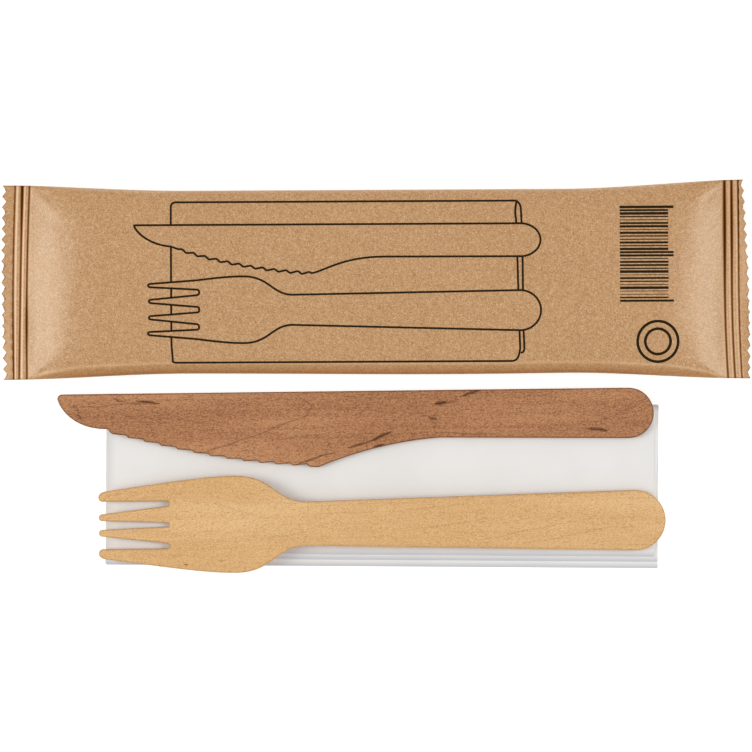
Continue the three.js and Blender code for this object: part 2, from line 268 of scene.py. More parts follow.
# Marks in the wood, from the piece's tip along it and across it: start, end, half-width, strength.
KNIFE_MARKS = (  # gum streaks, knots and flecks
    ((21.8, -2.0), (28.6, -2.5), 0.55, 0.95),
    ((3.0, -3.6), (5.9, -2.8), 0.5, 0.5),
    ((5.3, -2.9), (6.0, -5.8), 0.45, 0.5),
    ((5.5, -5.3), (6.5, -6.8), 0.6, 0.75),
    ((15.4, -1.0), (17.8, -2.3), 0.45, 0.7),
    ((65.6, -20.0), (76.8, -17.0), 0.45, 0.75),
    ((80.2, -15.6), (86.6, -13.9), 0.5, 0.8),
    ((86.2, -13.9), (92.4, -11.6), 0.75, 1.0),
    ((87.2, -15.5), (90.4, -14.95), 0.6, 0.95),
    ((104.3, -3.7), (108.0, -3.2), 0.9, 1.0),
    ((107.0, -3.6), (111.0, -3.0), 0.5, 0.6),
    ((102.4, -7.6), (104.8, -7.9), 0.6, 0.85),
    ((111.5, -1.8), (118.5, 0.2), 0.7, 0.9),
    ((146.2, -11.2), (152.2, -11.9), 0.65, 0.95),
    ((135.0, -2.0), (139.0, -2.6), 0.3, 0.3),
)
KNIFE_RINGS = (  # growth lines
    ((15.5, -1.3), (19.5, -2.8), 0.35, 0.5),
    ((4.0, -3.5), (19.5, -2.9), 0.3, 0.42),
    ((19.0, -2.9), (26.0, -2.3), 0.3, 0.4),
    ((38.0, -17.2), (55.0, -11.9), 0.42, 0.4),
    ((54.0, -12.2), (69.0, -6.9), 0.42, 0.42),
    ((68.4, -7.2), (70.6, -3.6), 0.4, 0.42),
    ((70.6, -3.9), (66.4, -0.9), 0.4, 0.38),
    ((60.0, -13.6), (77.0, -11.0), 0.35, 0.28),
    ((104.0, -11.6), (126.0, -12.9), 0.4, 0.34),
    ((148.5, -9.4), (161.5, -4.6), 0.38, 0.3),
    ((161.0, -4.9), (163.8, -1.7), 0.38, 0.28),
    ((20.0, -6.6), (40.0, -7.6), 0.3, 0.2),
    ((118.0, -6.0), (140.0, -7.2), 0.3, 0.2),
)
FORK_MARKS = (((23.9, -10.8), (25.0, -10.9), 0.4, 0.85),)
FORK_RINGS = (
    ((84.0, 3.2), (103.0, 5.4), 0.35, 0.22),
    ((86.0, -2.4), (108.0, 1.2), 0.35, 0.24),
    ((104.0, -5.4), (129.0, -0.6), 0.35, 0.26),
    ((116.0, -6.6), (146.0, -1.2), 0.35, 0.22),
    ((60.0, 2.4), (78.0, 3.4), 0.3, 0.2),
    ((30.0, 6.4), (46.0, 1.6), 0.5, 0.2),
    ((46.0, -4.2), (58.0, -2.4), 0.35, 0.2),
)
# How often the patterns of the wood repeat in a millimetre: along the grain, across it and through it.
GRAIN = Sizes(
    drift=(0.016, 0.09, 0.1),
    band=(0.012, 0.55, 0.4),
    speckle=(2.1, 4.4, 2.0),
    dash=(0.34, 4.2, 3.0),
    glint=(0.78, 4.42, 2.6),
    wobble=(0.12, 0.12, 0.1),
    ragged=(0.9, 1.6, 1.0),
)
STREAK_BELLY = 3.2  # fullness of a mark between its ends
STREAK_TIP = 0.2  # and at its ends

# Patterns of the two papers: sizes in millimetres, and the angles that the strands of kraft lie at.
KRAFT = Sizes(
    broad=26.0,
    cloud=3.2,
    mottle=0.36,
    fleck=1.4,
    fibre=(1.3, 0.15),
    light_fibres=(0.15, 0.9, 1.7, 2.5),
    dark_fibres=(0.5, 1.25, 2.1, 2.9),
)
TISSUE = Sizes(cloud=18.0, crepe=0.9, crepe_stretch=(0.5, 2.2, 1.0), fibre=0.5)
INK_GRAIN = 0.5

# Printed drawing on the packet: the same set in outline, in the packet's own frame.
INK_LINE = 0.56
INK_FILM = 0.015
INK_LIFT = 0.02
INK_STEP = 0.4
HIDDEN_STEP = 0.1  # a line is cut to this where the drawn cutlery covers it
CIRCLE_STEPS = 72
RAY_HEIGHT = 1.0  # metres above the floor, from where ink is dropped onto the paper
DRAWN_KNIFE = Sizes(
    tip=(-66.7, 15.6),
    belly=((0.6, -2.2), (4.6, -5.5), (10.1, -5.9)),
    blade=((12.3, -6.7), (23.0, -10.3), (35.0, -12.7), (49.0, -13.5)),
    edge_steps=160,
    waves=11.5,
    wave_height=0.3,
    wave_lean=0.4,
    heel=((53.2, -12.6), (57.5, -9.15), (68.5, -9.0)),
    handle_end=(106.7, 112.2),
    handle_depth=9.1,
)
DRAWN_FORK = Sizes(
    tip=(-62.9, -7.7),
    turn=math.radians(-0.38),
    scale=0.69,
    slimming=0.04,
    slot_root=14.1,
    slot_half_width=0.72,
    tine_half_width=0.42,
    tines=(6.62, 2.25),
    inner_tine_back=0.25,
    side_slot=4.78,
    fillet=0.72,
    join=(6.0, 1.4),  # least X, and least rise over the outer tine, of the side taken from the fork
)
DRAWN_NAPKIN = Sizes(
    left=-56.5,
    right=39.0,
    top=21.9,
    bottom=-22.4,
    corner=1.4,
    slant=0.35,
    slant_rises=(5.0, 0.6),  # the left side steps in by the slant between these rises from the bottom
    # Each point of the next two lies at an X from the right side and a Y.
    right_side=((-0.2, -22.4), (0.8, -19.7), (0.6, -14.0), (0.1, 6.5), (-0.1, 15.9), (-0.5, 19.0)),
    roll=((1.1, 20.7), (1.5, 11.8), (1.7, -14.0), (2.0, -19.7), (1.0, -20.2)),
)
BARS = Sizes(
    corner=(67.4, -6.4),
    size=(13.4, 26.8),
    count=30,
    thinnest=0.16,
    thickest=0.85,
    columns=14,
    seed=7,
    guard=1.11,  # length of a guard stripe over that of the others
    guard_pair=2,
)
PLATE_SYMBOL = Sizes(centre=(77.8, -17.2), radii=(5.6, 3.5), line=0.75)

LENS = 300.0
SENSOR = 36.0
VIEW_WIDTH = 208.08
FOCUS_HEIGHT = 4.0

# Studio, in metres and watts.
WHITE = (1.0, 1.0, 1.0, 1.0)
FLOOR_HALF = 3.0
LIGHT_REACH = 0.88
LIGHT_HEIGHT = 0.82
LIGHT_SIZE = (0.45, 0.7)
LIGHT_POWER = {"left": 5.0, "right": 4.2}
WORLD_STRENGTH = 0.56


# ---------------------------------------------------------------- lines and outlines


def bezier(start, first, second, end, steps=CURVE_STEPS):
    """Points of a cubic curve, without its start."""
    t = np.linspace(0, 1, steps + 1)[1:, None]
    start, first, second, end = (np.array(p, float) for p in (start, first, second, end))
    return ((1 - t) ** 3 * start + 3 * (1 - t) ** 2 * t * first
            + 3 * (1 - t) * t ** 2 * second + t ** 3 * end)


def arc(centre, radii, start, end, steps=CURVE_STEPS):
    """Points of an elliptical arc, angles in degrees."""
    angle = np.radians(np.linspace(start, end, steps + 1))
    return np.stack([centre[0] + radii[0] * np.cos(angle), centre[1] + radii[1] * np.sin(angle)], axis=1)


def evenly(points, count):
    """The same line as count + 1 points an even distance apart."""
    points = np.asarray(points, float)
    along = along_line(points)
    wanted = np.linspace(0, along[-1], count + 1)
    return np.stack([np.interp(wanted, along, points[:, k]) for k in range(points.shape[1])], axis=1)


def dense(points, step):
    """The same line with its corners kept and no stretch longer than step."""
    points = np.asarray(points, float)
    pieces = [points[:1]]
    for start, end in zip(points[:-1], points[1:]):
        count = max(1, math.ceil(np.linalg.norm(end - start) / step))
        pieces.append(start + (end - start) * np.linspace(0, 1, count + 1)[1:, None])
    return np.concatenate(pieces)


def closed(points):
    return np.concatenate([points, points[:1]])


def mirrored(half):
    """A closed outline from the half above the X axis, whose ends lie on the axis."""
    return np.concatenate([half, (half[1:-1] * (1, -1))[::-1]])


def rounded(points, radius, steps=5):
    """An open line with each inner corner turned into a small quadratic curve."""
    points = np.asarray(points, float)
    result = [points[:1]]
    for before, corner, after in zip(points[:-2], points[1:-1], points[2:]):
        arms = []
        for other in (before, after):
            length = np.linalg.norm(other - corner)
            arms.append(corner + (other - corner) * min(radius, length / 2) / length)
        t = np.linspace(0, 1, steps + 1)[:, None]
        result.append((1 - t) ** 2 * arms[0] + 2 * (1 - t) * t * corner + t ** 2 * arms[1])
    result.append(points[-1:])
    return np.concatenate(result)


def turned(points, angle):
    matrix = np.array([[math.cos(angle), math.sin(angle)], [-math.sin(angle), math.cos(angle)]])
    return np.asarray(points, float) @ matrix


def smoothstep(value, start, end):
    t = np.clip((value - start) / (end - start), 0, 1)
    return t * t * (3 - 2 * t)


def hump(value, middle, reach):
    """1 at the middle, falling away on both sides like a bell."""
    return np.exp(-((value - middle) / reach) ** 2)


def along_line(points):
    """The distance along a line at each of its points."""
    return np.concatenate([[0], np.cumsum(np.linalg.norm(np.diff(points, axis=0), axis=1))])


def inside(points, outline):
    """Which points lie within a closed outline: an odd number of its sides lie to their right."""
    x, y = points[:, :1], points[:, 1:2]
    ax, ay = outline.T
    bx, by = np.roll(outline, -1, axis=0).T
    crosses = (ay > y) != (by > y)
    rise = np.where(by == ay, 1, by - ay)
    return (crosses & (x < ax + (y - ay) * (bx - ax) / rise)).sum(axis=1) % 2 == 1


def distance_to(points, outline):
    """How far each point is from the nearest side of a closed outline."""
    nearest = np.full(len(points), np.inf)
    for a, b in zip(outline, np.roll(outline, -1, axis=0)):
        side = b - a
        share = np.clip(((points - a) @ side) / max(side @ side, TINY), 0, 1)
        nearest = np.minimum(nearest, np.linalg.norm(points - a - share[:, None] * side, axis=1))
    return nearest


# ---------------------------------------------------------------- meshes


def laying(points, turn, node):
    """The matrix that turns a piece about Z and lays it where its CAD solid lies."""
    low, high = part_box(node)
    flat = turned(points[:, :2], turn) * MM
    middle = (flat.min(axis=0) + flat.max(axis=0)) / 2
    target = (low + high) / 2
    shift = Vector((target.x - middle[0], target.y - middle[1], low.z - points[:, 2].min() * MM))
    return Matrix.Translation(shift) @ Matrix.Rotation(turn, 4, "Z") @ Matrix.Scale(MM, 4)


def mesh_object(name, points, faces, matrix, material, place=None, edges=(), marks=None):
    """An object at the origin, with its place in its mesh. Marks are a value for each vertex, by name."""
    mesh = bpy.data.meshes.new(name)
    mesh.from_pydata([tuple(p) for p in points], list(edges), [tuple(f) for f in faces])
    attribute = mesh.attributes.new(PLACE, "FLOAT_VECTOR", "POINT")
    attribute.data.foreach_set("vector", np.asarray(points if place is None else place, np.float32).ravel())
    for mark, values in (marks or {}).items():
        attribute = mesh.attributes.new(mark, "FLOAT", "POINT")
        attribute.data.foreach_set("value", np.asarray(values, np.float32))
    mesh.transform(matrix)
    mesh.materials.append(material)
    mesh.shade_smooth()
    mesh.update()
    thing = bpy.data.objects.new(name, mesh)
    bpy.context.scene.collection.objects.link(thing)
    return thing


def grid_normals(grid):
    across = np.gradient(grid, axis=0)
    along = np.gradient(grid, axis=1)
    normals = np.cross(along, across)
    return normals / np.maximum(np.linalg.norm(normals, axis=2, keepdims=True), TINY)


def paper_skin(grid, thickness):
    """Closed skin of even thickness round a grid of points that lie in the middle of a sheet."""
    rows, columns = grid.shape[:2]
    offset = grid_normals(grid) * thickness / 2
    points = np.concatenate([(grid + offset).reshape(-1, 3), (grid - offset).reshape(-1, 3)])
    index = np.arange(rows * columns).reshape(rows, columns)
    quads = np.stack([index[:-1, :-1], index[:-1, 1:], index[1:, 1:], index[1:, :-1]], axis=-1).reshape(-1, 4)
    inner = rows * columns
    border = np.concatenate([index[0, :-1], index[:-1, -1], index[-1, :0:-1], index[:0:-1, 0]])
    after = np.roll(border, -1)
    rim = np.stack([border, border + inner, after + inner, after], axis=-1)
    faces = np.concatenate([quads, quads[:, ::-1] + inner, rim])
    return points, faces


def inset_outline(outline, inset):
    """A counter-clockwise outline moved inwards, corners mitred."""
    before = outline - np.roll(outline, 1, axis=0)
    after = np.roll(outline, -1, axis=0) - outline
    inward = []
    for side in (before, after):
        side = side / np.linalg.norm(side, axis=1, keepdims=True)
        inward.append(np.stack([-side[:, 1], side[:, 0]], axis=1))
    mitre = inward[0] + inward[1]
    mitre /= np.maximum((mitre ** 2).sum(axis=1, keepdims=True) / 2, MITRE_LIMIT)
    return outline + mitre * inset


def rounded_rings(outline, thickness, edge_radius, underside):
    """Rings of points up the side of a board, from under its edge to above it, and their rim marks."""
    profile = [(edge_radius + EDGE_SUPPORT, 0.0)]
    for angle in np.radians(np.linspace(-90, 0, EDGE_STEPS + 1)):
        profile.append((edge_radius * (1 - math.cos(angle)), edge_radius * (1 + math.sin(angle))))
    profile += [(inset, thickness - height) for inset, height in reversed(profile)]
    rings, rim_marks = [], []
    for inset, height in profile:
        ring = inset_outline(outline, inset)
        rings.append(np.column_stack([ring, underside(ring[:, 0], ring[:, 1]) + height]))
        rim_marks += [float(inset < edge_radius)] * len(outline)
    return rings, rim_marks


def face_points(outline, rim, step):
    """Points of a square grid over an outline that lie within its rim and clear of it."""
    low, high = outline.min(axis=0), outline.max(axis=0)
    xs, ys = np.meshgrid(np.arange(low[0], high[0], step), np.arange(low[1], high[1], step))
    points = np.stack([xs.ravel(), ys.ravel()], axis=1)
    points = points[inside(points, rim)]
    return points[distance_to(points, rim) > step * CLEAR_OF_RIM]


def board(outline, thickness, edge_radius, underside, grid_step):
    """A thin board with rounded edges, as points, faces and each point's rim mark.
    Its underside's height is a function of place."""
    count = len(outline)
    rings, rim_marks = rounded_rings(outline, thickness, edge_radius, underside)
    faces = []
    for low in range(0, (len(rings) - 1) * count, count):
        for i in range(count):
            j = (i + 1) % count
            faces.append((low + i, low + j, low + count + j, low + count + i))
    rim = inset_outline(outline, edge_radius + EDGE_SUPPORT)
    inner = face_points(outline, rim, grid_step)
    base = underside(inner[:, 0], inner[:, 1])
    lower_face = np.column_stack([inner, base])
    upper_face = np.column_stack([inner, base + thickness])
    flat = [Vector(p) for p in np.concatenate([rim, inner])]
    only_inside = 1
    found = geometry.delaunay_2d_cdt(flat, [], [list(range(count))], only_inside, SAME_POINT)
    triangles, origins = found[2], found[3]
    top_ring = (len(rings) - 1) * count
    lower = top_ring + count
    upper = lower + len(inner)
    for triangle in triangles:
        corners = [origins[k][0] for k in triangle]
        faces.append([top_ring + k if k < count else upper + k - count for k in corners])
        faces.append([k if k < count else lower + k - count for k in reversed(corners)])
    rim_marks += [0.0] * (2 * len(inner))
    return np.concatenate([*rings, lower_face, upper_face]), faces, {RIM: rim_marks}


# ---------------------------------------------------------------- node trees


class Wire:
    """An output socket. Arithmetic on it adds Math nodes."""

    def __init__(self, net, socket):
        self.net = net
        self.socket = socket

    def __add__(self, other):
        return self.net.math("ADD", self, other)

    def __sub__(self, other):
        return self.net.math("SUBTRACT", self, other)

    def __rsub__(self, other):
        return self.net.math("SUBTRACT", other, self)

    def __mul__(self, other):
        return self.net.math("MULTIPLY", self, other)

    def __truediv__(self, other):
        return self.net.math("DIVIDE", self, other)

    __radd__ = __add__
    __rmul__ = __mul__


class Net:
    """A node tree under construction."""

    def __init__(self, tree):
        self.tree = tree

    def add(self, kind, settings=None, inputs=None, output=0):
        """A node of a type, with its settings made first, then its sockets' values or links."""
        node = self.tree.nodes.new(kind)
        for name, value in (settings or {}).items():
            setattr(node, name, value)
        for key, value in (inputs or {}).items():
            socket = self.find(node.inputs, key)
            if isinstance(value, Wire):
                self.tree.links.new(value.socket, socket)
            else:
                socket.default_value = value
        return Wire(self, self.find(node.outputs, output))

    @staticmethod
    def find(sockets, key):
        if isinstance(key, int):
            return sockets[key]
        return next(s for s in sockets if key in (s.identifier, s.name))

    def math(self, operation, *operands):
        return self.add("ShaderNodeMath", {"operation": operation}, dict(enumerate(operands)))

    def vector(self, operation, *operands, output=0):
        return self.add("ShaderNodeVectorMath", {"operation": operation}, dict(enumerate(operands)), output)

    def combine(self, x, y, z=0.0):
        return self.add("ShaderNodeCombineXYZ", None, {"X": x, "Y": y, "Z": z})

    def parts(self, vector):
        split = self.add("ShaderNodeSeparateXYZ", None, {"Vector": vector}).socket.node
        return [Wire(self, split.outputs[axis]) for axis in "XYZ"]


class Finish(Net):
    """A material's node tree, with the words that the finishes below are described in."""

    def __init__(self, name):
        self.material = bpy.data.materials.new(name)
        self.material.use_nodes = True
        super().__init__(self.material.node_tree)
        self.tree.nodes.clear()

    def place(self, stretch=(1.0, 1.0, 1.0)):
        own = self.add("ShaderNodeAttribute", {"attribute_name": PLACE}, None, "Vector")
        return own if stretch == (1.0, 1.0, 1.0) else self.vector("MULTIPLY", own, stretch)

    def noise(self, vector, scale, detail=2.0, roughness=0.5, distortion=0.0):
        return self.add("ShaderNodeTexNoise", None, {
            "Vector": vector, "Scale": scale, "Detail": detail,
            "Roughness": roughness, "Distortion": distortion}, "Fac")

    def ramp(self, value, start, end):
        """0 below start, 1 above end."""
        return self.add("ShaderNodeMapRange", {"interpolation_type": "SMOOTHSTEP"}, {
            "Value": value, "From Min": start, "From Max": end}, "Result")

    def clamp(self, value):
        return self.add("ShaderNodeClamp", None, {"Value": value})

    def mix(self, factor, first, second):
        return self.add("ShaderNodeMix", {"data_type": "RGBA"}, {
            "Factor_Float": factor, "A_Color": first, "B_Color": second}, "Result_Color")

    def fibres(self, angles, length, width):
        """1 on the fibres of a mat whose strands lie along several angles, 0 between them."""
        mat = None
        for number, angle in enumerate(angles):
            along = self.add("ShaderNodeVectorRotate", {"rotation_type": "Z_AXIS"}, {
                "Vector": self.place(), "Center": (0.0, 0.0, 0.0), "Angle": angle})
            stretched = self.vector("MULTIPLY", along, (1 / length, 1 / width, 1.0))
            strand = self.noise(stretched, 1.0, 1, 0.5, 0.5)
            strand = self.ramp(strand, 0.56 + 0.01 * number, 0.72)
            mat = strand if mat is None else self.math("MAXIMUM", mat, strand)
        return mat

    def streak(self, x, y, start, end, width):
        """1 on the middle of a lens-shaped mark from start to end, falling to 0 at its sides."""
        dx, dy = end[0] - start[0], end[1] - start[1]
        length_squared = dx * dx + dy * dy
        share = self.clamp(((x - start[0]) * dx + (y - start[1]) * dy) / length_squared)
        away_x = x - start[0] - share * dx
        away_y = y - start[1] - share * dy
        distance = self.math("SQRT", away_x * away_x + away_y * away_y)
        fullness = share * (1 - share) * STREAK_BELLY + STREAK_TIP
        return self.clamp(1 - distance / (fullness * width))

    def mark(self, name):
        return self.add("ShaderNodeAttribute", {"attribute_name": name}, None, "Fac")

    def blend(self, factor, first, second):
        return self.add("ShaderNodeMixShader", None, {0: factor, 1: first, 2: second})

    def surface(self, colour, roughness, height, bump_distance, **constants):
        """A Principled surface with its bump's greatest height in millimetres."""
        normal = self.add("ShaderNodeBump", None, {
            "Height": height, "Distance": bump_distance * MM}, "Normal")
        inputs = {"Base Color": colour, "Roughness": roughness, "Normal": normal}
        inputs.update({name.replace("_", " "): value for name, value in constants.items()})
        return self.add("ShaderNodeBsdfPrincipled", None, inputs, "BSDF")

    def output(self, surface):
        end = self.tree.nodes.new("ShaderNodeOutputMaterial")
        self.tree.links.new(surface.socket, end.inputs["Surface"])
        return self.material


def paint(code):
    """A colour from its hexadecimal display value, as linear light."""
    channels = [int(code[k:k + 2], 16) / 255 for k in (0, 2, 4)]
    linear = [c / 12.92 if c <= 0.04045 else ((c + 0.055) / 1.055) ** 2.4 for c in channels]
    return (*linear, 1.0)


# ---------------------------------------------------------------- finishes


def kraft_paper():
    """Unbleached paper: short fibres lying every way, small flecks, crushed browning with painted shade in
    the crimp grooves, painted shade at the cut edges and on the long sides, and painted highlights beside the
    grooves, across the tabs and along the near crease.
    """
    finish = Finish("kraft_paper")
    place = finish.place()
    broad = finish.noise(place, 1 / KRAFT.broad, 2)
    cloud = finish.noise(place, 1 / KRAFT.cloud, 1, 0.5)
    mottle = finish.noise(place, 1 / KRAFT.mottle, 2, 0.6, 0.3)
    light_fibre = finish.fibres(KRAFT.light_fibres, *KRAFT.fibre)
    dark_fibre = finish.fibres(KRAFT.dark_fibres, *KRAFT.fibre)
    fleck = finish.ramp(finish.noise(place, 1 / KRAFT.fleck, 1, 0.5, 0.4), 0.77, 0.82)
    colour = finish.mix(finish.ramp(cloud * 0.6 + broad * 0.4, 0.3, 0.7), paint("B98752"), paint("C5945F"))
    colour = finish.mix((1 - finish.ramp(mottle, 0.34, 0.5)) * 0.6, colour, paint("9C6B3C"))
    colour = finish.mix(finish.ramp(mottle, 0.46, 0.62) * 0.75, colour, paint("D3A06F"))
    colour = finish.mix(light_fibre * 0.8, colour, paint("EBC394"))
    colour = finish.mix(dark_fibre * 0.7, colour, paint("8E5C30"))
    colour = finish.mix(fleck * 0.5, colour, paint("6C4525"))
    # painted highlights beside the crimp grooves, across the tabs and along the near crease
    colour = finish.mix(finish.mark(PAINTED_HIGHLIGHT), colour, paint("EEC69C"))
    # crushed browning with painted shade in the crimp grooves, and painted shade at the cut edge and on the
    # long sides, which also dulls the paper's sheen there
    groove = finish.mark(SHADE_AND_BROWNING)
    roughness = 0.28 + mottle * 0.12
    height = mottle * 0.5 + light_fibre * 0.3 + cloud * 0.4
    paper = finish.surface(colour, roughness, height, 0.025, Specular_IOR_Level=1.0,
                           Specular_Tint=(1.0, 0.95, 0.82, 1.0))
    shade_and_browning_colour = finish.mix(finish.ramp(groove, 0.35, 0.85), paint("A0662F"), paint("4A2402"))
    shaded_and_crushed = finish.surface(shade_and_browning_colour, 0.9, height, 0.025, Specular_IOR_Level=0.05)
    return finish.output(finish.blend(finish.ramp(groove, 0.02, 0.6), paper, shaded_and_crushed))


def printing_ink():
    """Olive-black ink, paler in small specks."""
    finish = Finish("printing_ink")
    place = finish.add("ShaderNodeTexCoord", None, None, "Object")
    grain = finish.noise(place, 1 / (INK_GRAIN * MM), 3, 0.6)
    colour = finish.mix(finish.ramp(grain, 0.5, 0.8) * 0.5, paint("251A05"), paint("453215"))
    return finish.output(finish.surface(colour, 0.7, grain, 0.005, Specular_IOR_Level=0.1))


def napkin_tissue():
    """White tissue with a soft crepe, painted with shade along its folds."""
    finish = Finish("napkin_tissue")
    place = finish.place()
    cloud = finish.noise(place, 1 / TISSUE.cloud, 2)
    crepe = finish.noise(finish.place(TISSUE.crepe_stretch), 1 / TISSUE.crepe, 3, 0.6)
    fibre = finish.noise(place, 1 / TISSUE.fibre, 3, 0.7)
    colour = finish.mix(finish.ramp(cloud, 0.3, 0.7), paint("EDEBE8"), paint("F1EFEC"))
    colour = finish.mix(finish.ramp(fibre, 0.3, 0.75) * 0.3, colour, paint("E7E5E2"))
    # painted shade along the folds
    colour = finish.mix(finish.mark(FOLD_SHADE) * 0.6, colour, paint("B6BAC4"))
    height = crepe * 0.6 + fibre * 0.5
    return finish.output(finish.surface(colour, 0.9, height, 0.03, Specular_IOR_Level=0.2))


def wood(name, tones, marks, rings, grain_contrast, speckle_contrast, dash_contrast, rim_shade):
    """Rotary-cut veneer. Tones run pale, middle, dark and pore; marks, rings and the painted shade on the
    rounded cut side are drawn in the last.
    """
    pale, middle, dark, pore = (paint(t) for t in tones)
    finish = Finish(name)
    place = finish.place()
    drift = finish.noise(finish.place(GRAIN.drift), 1.0, 2, 0.5, 0.4)
    band = finish.noise(finish.place(GRAIN.band), 1.0, 3, 0.55, 0.6)
    speckle = finish.noise(finish.place(GRAIN.speckle), 1.0, 3, 0.75)
    dash = finish.ramp(finish.noise(finish.place(GRAIN.dash), 1.0, 2, 0.5), 0.6, 0.74)
    glint = finish.ramp(finish.noise(finish.place(GRAIN.glint), 1.0, 2, 0.6), 0.6, 0.78)
    wobble = finish.noise(finish.place(GRAIN.wobble), 1.0, 2, 0.5)
    colour = finish.mix(finish.ramp(drift, 0.32, 0.68), pale, middle)
    colour = finish.mix(finish.ramp(band, 0.42, 0.72) * grain_contrast, colour, dark)
    colour = finish.mix(finish.ramp(speckle, 0.45, 0.68) * speckle_contrast, colour, pale)
    colour = finish.mix((1 - finish.ramp(speckle, 0.32, 0.52)) * speckle_contrast, colour, dark)
    colour = finish.mix(dash * dash_contrast, colour, pore)
    colour = finish.mix(glint * 0.25, colour, pale)
    x, y, _ = finish.parts(place)
    ragged = finish.noise(finish.place(GRAIN.ragged), 1.0, 3, 0.6) - 0.5
    x = x + ragged * 1.2
    y = y + (wobble - 0.5) * 1.6 + ragged * 0.7
    shade = None
    for start, end, width, strength in (*rings, *marks):
        mark = finish.streak(x, y, start, end, width) * strength
        shade = mark if shade is None else finish.math("MAXIMUM", shade, mark)
    colour = finish.mix(finish.clamp(shade), colour, pore)
    # painted shade on the rounded cut side
    colour = finish.mix(finish.mark(RIM) * rim_shade, colour, pore)
    roughness = 0.4 + speckle * 0.2
    height = speckle * 0.5 - dash * 0.5 + band * 0.4
    return finish.output(finish.surface(colour, roughness, height, 0.05, Specular_IOR_Level=0.2))


def knife_wood():
    tones = ("CA9469", "AD7751", "804B29", "431C05")
    return wood("knife_wood", tones, KNIFE_MARKS, KNIFE_RINGS, grain_contrast=0.34,
                speckle_contrast=0.95, dash_contrast=0.6, rim_shade=0.5)


def fork_wood():
    tones = ("ECC38D", "DFB27A", "BC854B", "8A5828")
    return wood("fork_wood", tones, FORK_MARKS, FORK_RINGS, grain_contrast=0.22,
                speckle_contrast=0.9, dash_contrast=0.3, rim_shade=0.25)


def plain_white():
    finish = Finish("floor_white")
    speck = finish.noise(finish.add("ShaderNodeTexCoord", None, None, "Object"), 40.0, 2)
    return finish.output(finish.add("ShaderNodeBsdfPrincipled", None, {
        "Base Color": finish.mix(speck, paint("E4E4E4"), paint("E8E8E8")), "Roughness": 0.9,
        "Specular IOR Level": 0.0, "Emission Color": WHITE, "Emission Strength": 0.5}, "BSDF"))


# ---------------------------------------------------------------- packet


def swell(distance):
    """Share of the full height reached at a distance from the seal: steep at first, then level."""
    return 1 - (1 - np.clip(distance / PACKET.shoulder, 0, 1)) ** PACKET.swell_power


def filled(share):
    """1 on the filled packet, falling to 0 where its height does at the seals."""
    return min(1.0, PACKET.filled_gain * share)


def bevel_width(share):
    """Width of the bevel along the near side, which narrows towards the seals."""
    return PACKET.bevel * max(share, PACKET.least_share)


def crimp(from_edge):
    """Height of the crimped seal: a flat tab, an arch between each two grooves, and a fade beyond them."""
    first, second, last = SEAL.grooves
    if from_edge < first:
        return SEAL.tab_height * (1 - math.exp(-SEAL.groove_sharpness * (first - from_edge)))
    if from_edge >= SEAL.depth:
        return SEAL.tab_height * max(0.0, 1 - (from_edge - SEAL.depth) / SEAL.lift_fade)
    if from_edge > last:
        return SEAL.tab_height * (from_edge - last) / (SEAL.depth - last)
    across = (from_edge - first) / (second - first) % 1
    return SEAL.crimp_height * (1 - abs(2 * across - 1) ** SEAL.groove_sharpness)


def line_mark(distance, line, radius):
    """1 on a line across the packet, falling to 0 at a radius from it."""
    return np.clip(1 - abs(distance - line) / radius, 0, 1)


def crimp_marks(side, from_edge, level):
    """How much painted shade lies in a groove, with its crushed browning, and at the cut edge, and how much
    painted highlight beside the grooves and on the tab, for each point of a row.
    """
    groove = SEAL.cut_stain * line_mark(from_edge, 0.0, SEAL.cut_radius)
    on_tab = from_edge < SEAL.grooves[0] - SEAL.tab_margin
    painted_highlight = SEAL.tab_polish * hump(level, *SEAL.polished[side]) * on_tab
    outer = SEAL.outer_ridges[side]
    for line, (middle, reach, gain), inner in zip(SEAL.grooves, SEAL.presses[side], SEAL.inner_ridges[side]):
        strength = SEAL.press + gain * hump(level, middle, reach)
        groove = np.maximum(groove, strength * line_mark(from_edge, line, SEAL.groove_radius * strength))
        for offset, highlight_gain in ((SEAL.ridge_offset, inner), (-SEAL.ridge_offset, outer)):
            painted_highlight = np.maximum(painted_highlight, highlight_gain * line_mark(from_edge, line + offset, SEAL.ridge_radius))
    return np.stack(np.broadcast_arrays(groove, painted_highlight), axis=1)


def packet_rows():
    """Distance of each row of the sheet from the left cut edge."""
    seal_rows = np.arange(0, SEAL.depth, SEAL_ROW_STEP)
    shoulder_rows = np.arange(SEAL.depth, SEAL.depth + PACKET.shoulder, SHOULDER_ROW_STEP)
    end = np.concatenate([seal_rows, shoulder_rows])
    middle_count = math.ceil((PACKET.length - 2 * end[-1]) / BODY_ROW_STEP)
    middle = np.linspace(end[-1], PACKET.length - end[-1], middle_count + 1)[1:-1]
    return np.concatenate([end, middle, PACKET.length - end[::-1]])


def packet_top(half, rise, share):
    """The front from the near side to the far one: a flat arch, bevelled along its near side."""
    angle = np.linspace(math.pi, 0, ARCH_STEPS + 1)
    boxiness = PACKET.seal_boxiness + (PACKET.boxiness - PACKET.seal_boxiness) * share
    across = np.sign(np.cos(angle)) * np.abs(np.cos(angle)) ** (2 / boxiness)
    top = np.stack([half * across, rise * np.clip(np.sin(angle), 0, 1) ** (2 / boxiness)], axis=1)
    foot = PACKET.bevel_foot
    bevel = foot + (1 - foot) * (top[:, 0] + half) / bevel_width(share)
    top[:, 1] = np.minimum(top[:, 1], rise * bevel)
    return evenly(top, TOP_COLUMNS)


def under_corner(drop):
    return arc((0, 0), (PACKET.under_corner, drop), 0, -90, CORNER_COLUMNS)


